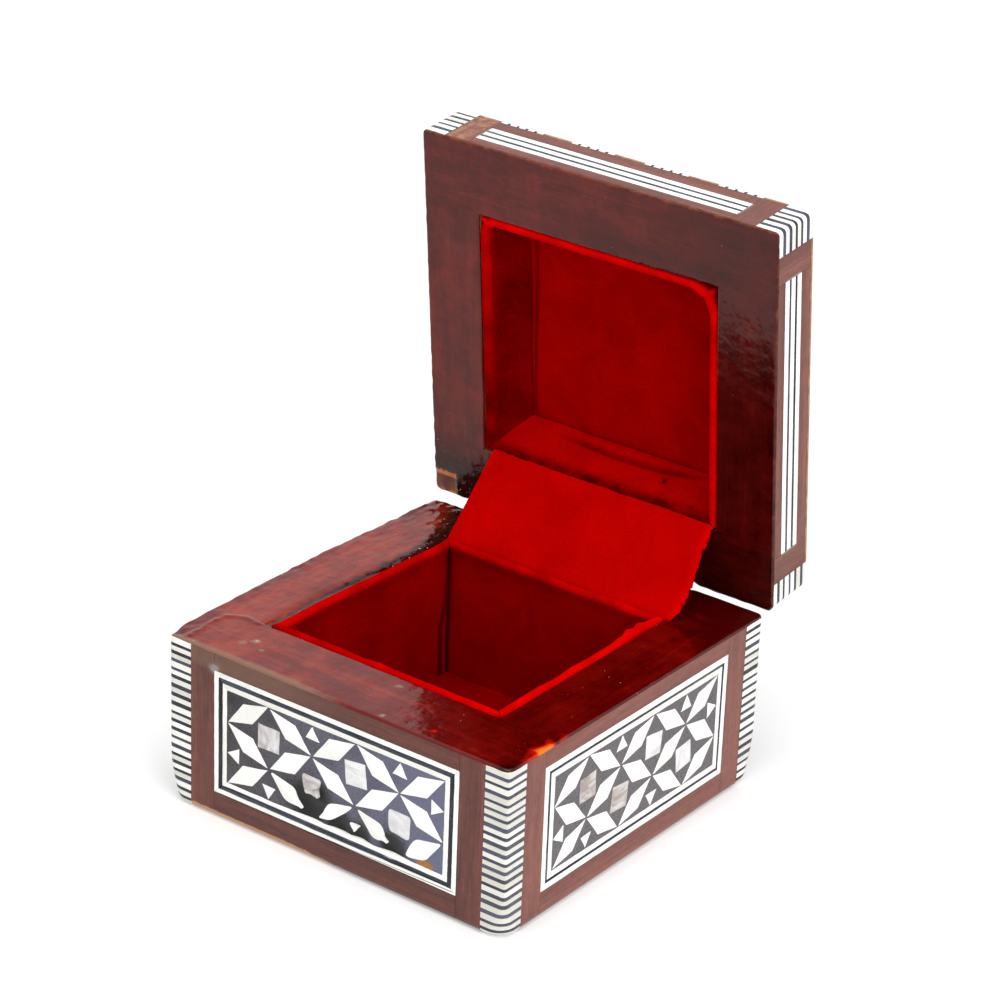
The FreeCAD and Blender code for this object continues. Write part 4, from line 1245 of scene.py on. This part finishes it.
def lid_tone_and_painted_shade(x, y):
    """Darker from left to right and beside the stay, as painted dark reflection and shade, and darker at the
    front left corner.
    """
    corner = 0.8 * fade(x + LID_HALF, y - LID_AREA[1], 6)
    stay_side = 1.2 * max(0.0, x / LID_HALF - 0.4) * max(0.0, 1 + y / 16)
    return -0.5 * x / LID_HALF - corner - stay_side


def lid_bite(x, y):
    """How far the outer edge of the lid's rim is worn away."""
    hinge_left = fade(x + LID_HALF, y, 12)
    worn = max(0.0, (0.1 + 0.3 * hinge_left) * (ripple(x, y, 0.6, 29.0) + 0.5))
    return worn - back_lip(x, LID_AREA[2] - y, LID_HALF)


lid_rim = Pieces("lid_rim_veneer", "lacquer", LID_LACQUER)
rim = rim_form(
    LID_AREA, LID_ROOM, LID_RIM, LID_RAIL_FOOT, RIM_ROUND, lambda x, y: LID_CORNER_ROUND, lid_lift, lid_bite)
lid_rim.add(rim, LID, tone=lid_tone_and_painted_shade, wear=lid_wear_and_highlight, lump=lid_lump_and_shade, turn=grain_turn(LID_ROOM))
lid_rim.build()


# Lid top
CORNER_STEPS = 14
STRIP_STEPS = 12


def top_corner():
    """Bone block at a corner of the lid's top, rounded over both edges."""
    size = LID_TOP_ROUND
    reach = steps(0.0, CORNER, CORNER_STEPS)

    def height(a, b):
        along = max(0.0, size - a)
        across = max(0.0, size - b)
        distance = (along ** 5 + across ** 5) ** 0.2
        return LID_TOP - round_drop(max(0.0, size - distance), size)

    points, faces = grid_form(reach, reach, height, LID_SKIN_FOOT)
    return [(*ease_corner(a, b, LID_CORNER_ROUND), level) for a, b, level in points], faces


for place in corner_frames(LID_AREA, LID):
    lid_corners[0].add(top_corner(), place, tone=draw.uniform(-0.2, 0.6))
build(lid_corners)

TOP = LID @ Matrix.Translation((0, LID_MIDDLE, LID_TOP))
TOP_LOW = Vector((top_field_low.x, top_field_low.y - LID_MIDDLE))
TOP_HIGH = Vector((top_field_high.x, top_field_high.y - LID_MIDDLE))
top_kinds = {**panel_kinds("lid_top"), "ground": Pieces("lid_top_ground", "filler")}
add_panel(top_kinds, TOP, TOP_LOW, TOP_HIGH, TOP_CELLS, TOP_SKIN, PLAIN)
build(top_kinds.values())


# Worn outer edge of the lid's top: bare wood, and a painted orange highlight where the edge rounds over
def top_wear_and_highlight(u, v):
    return 0.55 * near(v, 1.5)


def strip(u_low, u_high, v_low, v_high, columns=2):
    """Strip of the lid's top that is rounded over its outer edge."""
    us = steps(u_low, u_high, columns)
    vs = steps(v_low, v_high, STRIP_STEPS)
    return grid_form(us, vs, lambda u, v: -round_drop(v, LID_TOP_ROUND), -TOP_SKIN)


top_veneer = Pieces("lid_top_veneer", "veneer")
borders = bone_and_dark("lid_border")
block_half = (BLOCK_DARK_SLIPS * sum(BORDER_SLIPS) + BORDER_SLIPS[0]) / 2
for index in range(4):
    half_face, half_span = face_spans(index, LID_HALF, LID_HALF_DEPTH)
    inner_face, inner_span = face_spans(index, TOP_HIGH.x + FRAME_WIDTH, TOP_HIGH.y + FRAME_WIDTH)
    turn = TOP @ Matrix.Rotation(math.radians(90 * index), 4, "Z") @ Matrix.Translation((0, -half_span, 0))
    block_start = BLOCK_INSET if index % 2 else EDGE_INSET
    edges = [CORNER - half_face]
    for centre in BORDER_CENTRES:
        edges += [centre - block_half, centre + block_half]
        low = centre - block_half
        for slip in range(2 * BLOCK_DARK_SLIPS + 1):
            width = BORDER_SLIPS[slip % 2]
            piece = strip(low, low + width, block_start, BORDER_WIDTH)
            borders[slip % 2].add(piece, turn, 1, tone=draw.uniform(-0.3, 0.5))
            low += width
        if index % 2:
            edging = strip(centre - block_half, centre + block_half, EDGE_INSET, block_start - JOINT)
            top_veneer.add(edging, turn, tone=draw.uniform(-0.2, 0.4), wear=top_wear_and_highlight)
    edges.append(half_face - CORNER)
    for low, high in zip(edges[::2], edges[1::2]):
        board = strip(low + JOINT, high - JOINT, EDGE_INSET, BORDER_WIDTH, 4)
        top_veneer.add(board, turn, tone=draw.uniform(-0.2, 0.4), wear=top_wear_and_highlight)
    outer_half = half_face - BORDER_WIDTH
    mitre = [(-outer_half, BORDER_WIDTH), (outer_half, BORDER_WIDTH),
             (inner_face, half_span - inner_span), (-inner_face, half_span - inner_span)]
    top_veneer.add(slab(mitre, 0.0, TOP_SKIN), turn, tone=draw.uniform(-0.2, 0.4))
build([top_veneer, *borders])


# Velvet linings
ROLL_SIZE = 0.95
BASE_PROUD = 0.3
LID_PROUD = 0.4
ROLL_REACH = 2.2
ROLL_WAVE = 0.2
WALL_STEPS = 130
CARD_STEPS = 30
ROLL_STEPS = 12


def lining_piece(node, form, tones):
    piece = show(f"{node}_velvet", *form, FINISHES["velvet"], "velvet", {"tone": tones}, VELVET_SHARP)
    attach(piece, body_of(node))
    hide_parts(node)


def velvet_room(room):
    """Half sizes and middle of a room, to the face of its velvet."""
    half_x, y_low, y_high = room
    return half_x - LINING, (y_high - y_low) / 2 - LINING, (y_low + y_high) / 2


def painted_edge_highlight(u, half_face, low, high):
    """Painted highlight on a rolled edge from one end of a wall to the other, with brushed patches."""
    share = (u + half_face) / (2 * half_face)
    return low + (high - low) * share + 0.2 * ripple(u, low, 0.25, 41.0)


def line_walls(prefix, room, body, section, pinch, cloths):
    """Velvet over card along the walls of a room.

    The section gives depth behind the face, height and share of the edge. A side's cloth is how it swells,
    its tone on the wall, which is painted light and shade, and the painted highlight added to that along the
    rolled edge, from one end to the other. The corners are painted darker, as painted shade.
    """
    half_x, half_y, middle = velvet_room(room)
    for index, side in enumerate(SIDES):
        puff, tone, edge_highlight = cloths[side]
        half_face, half_span = face_spans(index, half_x, half_y)
        place = side_frame(index, half_span, middle)
        rings = []
        tones = []
        for t in steps(-1.0, 1.0, WALL_STEPS):
            ring = []
            for depth, height, edge in section:
                u = t * (half_face + depth)
                swell = (1 - 0.7 * edge) * puff(u, height, half_face) if depth < 0.8 * LINING else 0.0
                wave = edge * ROLL_WAVE * (ripple(u, index, 0.22, 31.0) + 0.5 * ripple(u, height, 1.1, 33.0))
                spot = pinch(place @ Vector((u, height + wave, depth - swell - 0.5 * wave)))
                ring.append(tuple(body @ spot))
                wall_shade = tone(u, height, half_face) if callable(tone) else tone
                # Painted shade in the corners of the room, off the rolled edge
                corner = 0.3 * (1 - edge) * hump(half_face - abs(u), 0.7)
                tones.append(wall_shade + edge * painted_edge_highlight(u, half_face, *edge_highlight) - corner)
            rings.append(ring)
        lining_piece(f"{prefix}_lining_{side}", loft(rings), tones)


def rolled_section(foot, edge, up, lean, lean_power):
    """Wall from its foot to a rolled edge that swells into the room, then down behind the card."""
    swell = 2 * ROLL_SIZE - LINING
    shoulder = edge - up * ROLL_SIZE
    section = []
    for height in steps(foot, shoulder, CARD_STEPS)[:-1]:
        away = abs(height - shoulder)
        close = near(away, ROLL_REACH)
        share = away / abs(foot - shoulder)
        section.append((-lean * share ** lean_power - swell * close ** 2, height, 0.6 * close ** 2))
    for angle in steps(math.pi, 0.0, ROLL_STEPS):
        depth = ROLL_SIZE - swell + ROLL_SIZE * math.cos(angle)
        section.append((depth, shoulder + up * ROLL_SIZE * math.sin(angle), 0.6 + 0.4 * math.sin(angle)))
    return section + [(LINING, height, 0.0) for height in steps(shoulder, foot, 4)[1:]]


def wrinkles(u, height, depth, scale, seed):
    """How far velvet stands off its card, in waves as deep and as close as depth and scale say."""
    waves = depth * ripple(u, height, scale, seed) + 0.05 * ripple(u, height, 0.4, seed + 5)
    return 0.1 + waves + 0.03 * ripple(u, height, 2.0, seed + 7)


def base_puff(u, height, half_face):
    return wrinkles(u, height, 0.16, 0.09, 1.0) - 0.35 * math.exp(-(half_face - abs(u)) / 0.9)


GATHER_TOP = 26
GATHER_FALL = 10


def gathered(height):
    """How far the left lining is gathered by the back corner, from nothing near its top to one below."""
    return clamp((GATHER_TOP - height) / GATHER_FALL)


def left_puff(u, height, half_face):
    """Swelling of the base's left lining, with the fold that gathers it."""
    low = gathered(height)
    fold = hump(u + half_face - 1.1 * low, 0.6)
    return base_puff(u, height, half_face) + 0.7 * low * fold


# Painted shade: the left wall darker, with a dark line beside the gathered fold
def left_painted_shade(u, height, half_face):
    low = gathered(height)
    return LEFT_WALL_SHADE - 0.4 * low * hump(u + half_face - 2.1 * low, 0.35)


BUNCH_PLACE = 17.5
BUNCH_REACH = 4.5
BUNCH_HEIGHT = 1.6
BUNCH_IN = 0.7
BUNCH_UP = 0.35


def base_pinch(spot):
    """The left wall askew, and the right wall's edge bunched in front of the stay."""
    edge = clamp((spot.z - RIM_TOP + BUNCH_HEIGHT) / BUNCH_HEIGHT)
    right = clamp(spot.x - BASE_ROOM[0] + 4)
    bunch = edge * right * hump(spot.y - BUNCH_PLACE, BUNCH_REACH) * (1 + 0.35 * math.sin(1.7 * spot.y))
    return Vector((askew(spot.x, spot.y) - BUNCH_IN * bunch, spot.y, spot.z + BUNCH_UP * bunch))


LEFT_WALL_SHADE = -0.14
# Each side's cloth: its swelling, its painted shade on the wall, and the painted highlight along its rolled
# edge from end to end
BASE_CLOTHS = {
    "front": (base_puff, -0.05, (-0.02, 0.3)),
    "right": (base_puff, -0.05, (0.26, 0.36)),
    "back": (base_puff, -0.1, (0.15, 0.15)),
    "left": (left_puff, left_painted_shade, (0.12, 0.32)),
}
base_wall = rolled_section(FLOOR, RIM_TOP + BASE_PROUD, 1, 0.0, 1.0)
line_walls("base", BASE_ROOM, BASE, base_wall, base_pinch, BASE_CLOTHS)
FLOOR_STEPS = 48


def floor_form():
    half_x, half_y, middle = velvet_room(BASE_ROOM)
    low, high = span("base_lining_floor")

    def height(x, y):
        return high.z + 0.15 + 0.25 * ripple(x, y, 0.08, 5.0)

    us = steps(-half_x, half_x, FLOOR_STEPS)
    vs = steps(middle - half_y, middle + half_y, FLOOR_STEPS)
    points, faces = grid_form(us, vs, height, low.z)
    return [(askew(x, y), y, z) for x, y, z in points], faces


def floor_painted_light(x, y):
    """Painted shade over the floor of the room, lighter towards the near corner as painted light."""
    return 0.45 * fade(x - BASE_ROOM[0], y - BASE_ROOM[1], 7) - 0.2


form = floor_form()
lining_piece("base_lining_floor", form, [floor_painted_light(x, y) for x, y, _ in form[0]])


# Small pits in the lid's back lining: along it, up it, and reach
PITS = [(-11.6, 5.3, 0.5), (-19.7, 2.1, 0.5)]


def back_folds(u, height):
    """Shares of the ridge and of the fold under it that run along the lid's back lining."""
    window = clamp((14 - u) / 7, (22 + u) / 7)
    share = clamp((13 - u) / 34)
    drop = 1.5 + 0.4 * math.sin(math.pi * share) - 1.2 * share ** 4
    fold = hump(height - LID_CEILING + drop, 0.42)
    raised = hump(height - LID_CEILING + 0.55 * drop, 0.5)
    return window * raised, window * fold


def pits(u, height):
    return sum(spots(u, height, PITS))


def lid_puff(u, height, half_face):
    return wrinkles(u, height, 0.2, 0.1, 2.0)


def back_puff(u, height, half_face):
    raised, fold = back_folds(u, height)
    return lid_puff(u, height, half_face) + 0.35 * raised - 0.35 * fold - 0.2 * pits(u, height)


# Painted highlight on the ridge, and painted shade in the fold under it and in the pits
def back_painted_light(u, height, half_face):
    raised, fold = back_folds(u, height)
    return 0.05 * raised - 0.25 * fold - 0.4 * pits(u, height)


# Cloth drawn across the front corners of the lid's room: which side, how far and reach
PINCHES = [(1, 3.2, 5.2), (-1, 1.4, 2.8)]


def lid_pinch(spot):
    """The lid's velvet drawn across the corners."""
    half_x, half_y, middle = velvet_room(LID_ROOM)
    for sign, size, reach in PINCHES:
        away = abs(sign * half_x - spot.x) + abs(spot.y - (middle - half_y))
        shift = 0.5 * max(0.0, reach - away) * size / reach
        spot = spot + Vector((-sign * shift, shift, 0))
    return spot


# Lid cloths as for the base; the back's rolled edge is painted darker, as painted shade where the stay comes
# out under it
LID_CLOTHS = {
    "front": (lid_puff, 0.0, (0.32, 0.2)),
    "right": (lid_puff, 0.0, (0.12, 0.28)),
    "back": (back_puff, back_painted_light, (-0.3, -0.3)),
    "left": (lid_puff, -0.27, (0.02, 0.35)),
}
lid_wall = rolled_section(LID_CEILING, LID_LINING_EDGE - LID_PROUD, -1, LEAN, 1.3)
line_walls("lid", LID_ROOM, LID, lid_wall, lid_pinch, LID_CLOTHS)
CEILING_STEPS = 90


def ceiling_form():
    """Form and tones of the lid's ceiling, creased along its left side and its foot, with painted shade in
    the creases.
    """
    half_x, half_y, middle = velvet_room(LID_ROOM)
    half_x += 1.0 - LEAN
    half_y += 1.0 - LEAN

    def folds(x, y):
        first = hump(x + half_x - 1.0 - 0.2 * math.sin(y / 6), 0.4)
        second = hump(x + half_x - 2.2 - 0.5 * math.sin(y / 9), 0.35)
        return max(first, second, 0.7 * hump(y + half_y - 0.8, 0.9))

    def height(x, y):
        return -(LID_CEILING - 0.25 - 0.25 * ripple(x, y, 0.07, 8.0) + 0.45 * folds(x, y))

    flip = LID @ Matrix.Translation((0, middle, 0)) @ Matrix.Rotation(math.pi, 4, "X")
    us = steps(-half_x, half_x, CEILING_STEPS)
    points, faces = grid_form(us, steps(-half_y, half_y, CEILING_STEPS), height, -ceiling_high.z)
    # Painted shade in the creases
    tones = [-0.04 - 0.25 * folds(x, y) for x, y, _ in points]
    return ([tuple(flip @ Vector(point)) for point in points], faces), tones


lining_piece("lid_lining_ceiling", *ceiling_form())


# Velvet stay between the linings, pulled tight by the open lid
STAY_HALF = velvet_room(BASE_ROOM)[0] + 0.2
STAY_THICK = 0.7
STAY_FLARE = 2.6
STAY_STEPS = 110
STAY_RUNS = (4, 40, 4)


def stay_line():
    """Middle of the stay from the base lining to the lid lining, in Y and Z."""
    base_y = BASE_ROOM[2] - LINING / 2
    lid_y = LID_ROOM[2] - LINING / 2 + 0.1
    lid_bend = LID @ Vector((0, lid_y, LID_RIM - 0.05))
    lid_end = LID @ Vector((0, lid_y, LID_LINING_EDGE + 0.4))
    return [
        Vector((base_y, LINING_EDGE - 0.3)),
        Vector((base_y, RIM_TOP + 0.45)),
        Vector((lid_bend.y, lid_bend.z)),
        Vector((lid_end.y, lid_end.z)),
    ]


def smooth_line(corners, counts):
    """Points along a line of straight runs with its corners drawn in."""
    line = []
    for index, count in enumerate(counts):
        line += [corners[index].lerp(corners[index + 1], step / count) for step in range(count)]
    line.append(corners[-1])
    for _ in range(2):
        middle = [(line[i - 1] + 2 * line[i] + line[i + 1]) / 4 for i in range(1, len(line) - 1)]
        line = [line[0]] + middle + [line[-1]]
    return line


def stay_form(line):
    """Cloth along a line, wider and ragged at its right edge."""
    rings = []
    tones = []
    for t in steps(-1.0, 1.0, STAY_STEPS):
        front = []
        back = []
        edge = max(0.0, abs(t) - 0.95) / 0.05
        for index, point in enumerate(line):
            along = (line[min(len(line) - 1, index + 1)] - line[max(0, index - 1)]).normalized()
            outward = Vector((-along.y, along.x))
            share = index / (len(line) - 1)
            slack = math.sin(math.pi * share)
            flare = STAY_FLARE * max(0.0, t) ** 6 * (0.6 * share + 2.0 * slack ** 0.5 * (1 - share) ** 1.5)
            ragged = 0.6 * ripple(share * 22, t, 1.0, 5.0) + 0.7 * ripple(share * 80, t, 1.0, 6.0)
            fray = ragged * max(0.0, t - 0.96) / 0.04 + 0.12 * ripple(share * 30, t, 1.0, 7.0) * edge
            x = t * STAY_HALF + flare + fray
            pucker = 0.35 * max(0.0, t) ** 8 * (1 - share) ** 2 * math.sin(share * 30)
            shift = slack * (0.2 * ripple(x, share * 20, 0.12, 4.0) - 0.1 + pucker)
            spot = point + outward * shift
            thick = STAY_THICK / 2 * math.sqrt(max(0.05, 1 - edge ** 2))
            front.append((x, *(spot + outward * thick)))
            back.append((x, *(spot - outward * thick)))
            # Painted light: the stay lighter than the walls and lighter at its sides, with painted shade
            # where it goes in under the lid's lining
            tones.append(0.08 + 0.12 * edge - 0.3 * max(0.0, share - 0.93) / 0.07)
        rings.append(front + back[::-1])
        tones += tones[-len(line):][::-1]
    return loft(rings), tones


stay_corners = stay_line()
stay_path = smooth_line(stay_corners, STAY_RUNS)
form, tones = stay_form(stay_path)
stay = show("velvet_stay_cloth", *form, FINISHES["velvet"], "velvet", {"tone": tones}, VELVET_SHARP)
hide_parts("velvet_stay")
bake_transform(stay)


# CAD pieces that show as they are
HINGE_NODES = ("base_leaves", "lid_leaves", "pins", "base_nails", "lid_nails")
NODE_FINISHES = {"base_bottom_board": RAW_WOOD, "lid_top_board": CORE_WOOD}
NODE_FINISHES |= {f"hinge_{name}": BRASS for name in HINGE_NODES}
NODE_FINISHES |= {f"{name}_{side}": CORE_WOOD for name in ("base_wall", "lid_rail") for side in SIDES}
for name, finish in NODE_FINISHES.items():
    materials = frame["nodes"][name].data.materials
    materials.clear()
    materials.append(finish)


# Floor, light and camera
WHITE = (1.0, 1.0, 1.0, 1.0)
FLOOR_COLOUR = (0.9, 0.9, 0.9, 1.0)
FLOOR_HALF = 3.0
FLOOR_LIGHT = 1.08
FLOOR_GLOW = 0.25
GLOW_REACH = (50.0, 110.0)
WORLD_LIGHT = 0.55


def floor_material():
    """White paper, lit by itself where it is seen, and more so away from the box."""
    made = Finish("floor_finish", False)
    made.shade(Base_Color=FLOOR_COLOUR, Roughness=0.9, Specular_IOR_Level=0.0)
    far = made.add("VectorMath", {0: made.place}, "Value", operation="LENGTH")
    seen = made.maths("MULTIPLY", made.seen_rays(), made.band(far, *GLOW_REACH, FLOOR_GLOW, 1.0))
    light = made.add("Emission", {"Color": WHITE, "Strength": FLOOR_LIGHT})
    surface = made.add("MixShader", {0: seen, 1: made.shader.outputs[0], 2: light})
    made.put(made.tree.nodes["Material Output"], "Surface", surface)
    return made.material


floor_mesh = bpy.data.meshes.new("floor")
floor_corners = [(x, y, 0) for x, y in rectangle(-FLOOR_HALF, FLOOR_HALF, -FLOOR_HALF, FLOOR_HALF)]
floor_mesh.from_pydata(floor_corners, [], [(0, 1, 2, 3)])
floor = bpy.data.objects.new("floor", floor_mesh)
bpy.context.scene.collection.objects.link(floor)
floor_mesh.materials.append(floor_material())

world = bpy.data.worlds.new("studio")
bpy.context.scene.world = world
world.use_nodes = True
sky = Nodes(world.node_tree)
background = sky.tree.nodes["Background"]
sky.put(background, "Color", WHITE)
sky.put(background, "Strength", sky.band(sky.seen_rays(), 0.0, 1.0, WORLD_LIGHT, 1.0))


def add_light(name, place, target, size, power):
    lamp = bpy.data.lights.new(name, "AREA")
    lamp.shape = "SQUARE"
    lamp.size = size
    lamp.energy = power
    light = bpy.data.objects.new(name, lamp)
    light.location = place
    light.rotation_mode = "QUATERNION"
    light.rotation_quaternion = (Vector(target) - Vector(place)).to_track_quat("-Z", "Y")
    bpy.context.scene.collection.objects.link(light)


LIGHT_TARGET = (0.0, 0.0, 0.04)
add_light("top_light", (0.1, -0.15, 0.9), LIGHT_TARGET, 0.7, 6.0)
add_light("right_light", (0.8, -0.35, 0.45), LIGHT_TARGET, 0.5, 4.0)

# Camera: turned about the box to the photograph's view, aimed by where the box lies in the picture
PICTURE = 1000
AZIMUTH = math.radians(36.47)
ELEVATION = math.radians(25.31)
ROLL = math.radians(2.20)
DISTANCE = 655.6
AIM = Vector((0, 0, 23.0))
AIM_PIXEL = (467.7, 675.0)
FOCAL_PIXELS = 3669.6
SENSOR = 36.0
back = Vector((
    math.sin(AZIMUTH) * math.cos(ELEVATION), -math.cos(AZIMUTH) * math.cos(ELEVATION), math.sin(ELEVATION)))
level_right = Vector((math.cos(AZIMUTH), math.sin(AZIMUTH), 0))
level_up = back.cross(level_right)
right = math.cos(ROLL) * level_right + math.sin(ROLL) * level_up
up = math.cos(ROLL) * level_up - math.sin(ROLL) * level_right
scale = DISTANCE / FOCAL_PIXELS
eye = AIM + back * DISTANCE - right * (AIM_PIXEL[0] - PICTURE / 2) * scale
eye += up * (AIM_PIXEL[1] - PICTURE / 2) * scale
camera_data = bpy.data.cameras.new("camera")
camera_data.sensor_width = SENSOR
camera_data.lens = FOCAL_PIXELS / PICTURE * SENSOR
camera_data.clip_start = 0.01
camera = bpy.data.objects.new("camera", camera_data)
axes = Matrix((right, up, back)).transposed().to_4x4()
camera.matrix_world = Matrix.Translation(eye * MM) @ axes
bpy.context.scene.collection.objects.link(camera)
bpy.context.scene.camera = camera

bpy.context.scene.view_settings.view_transform = "Standard"
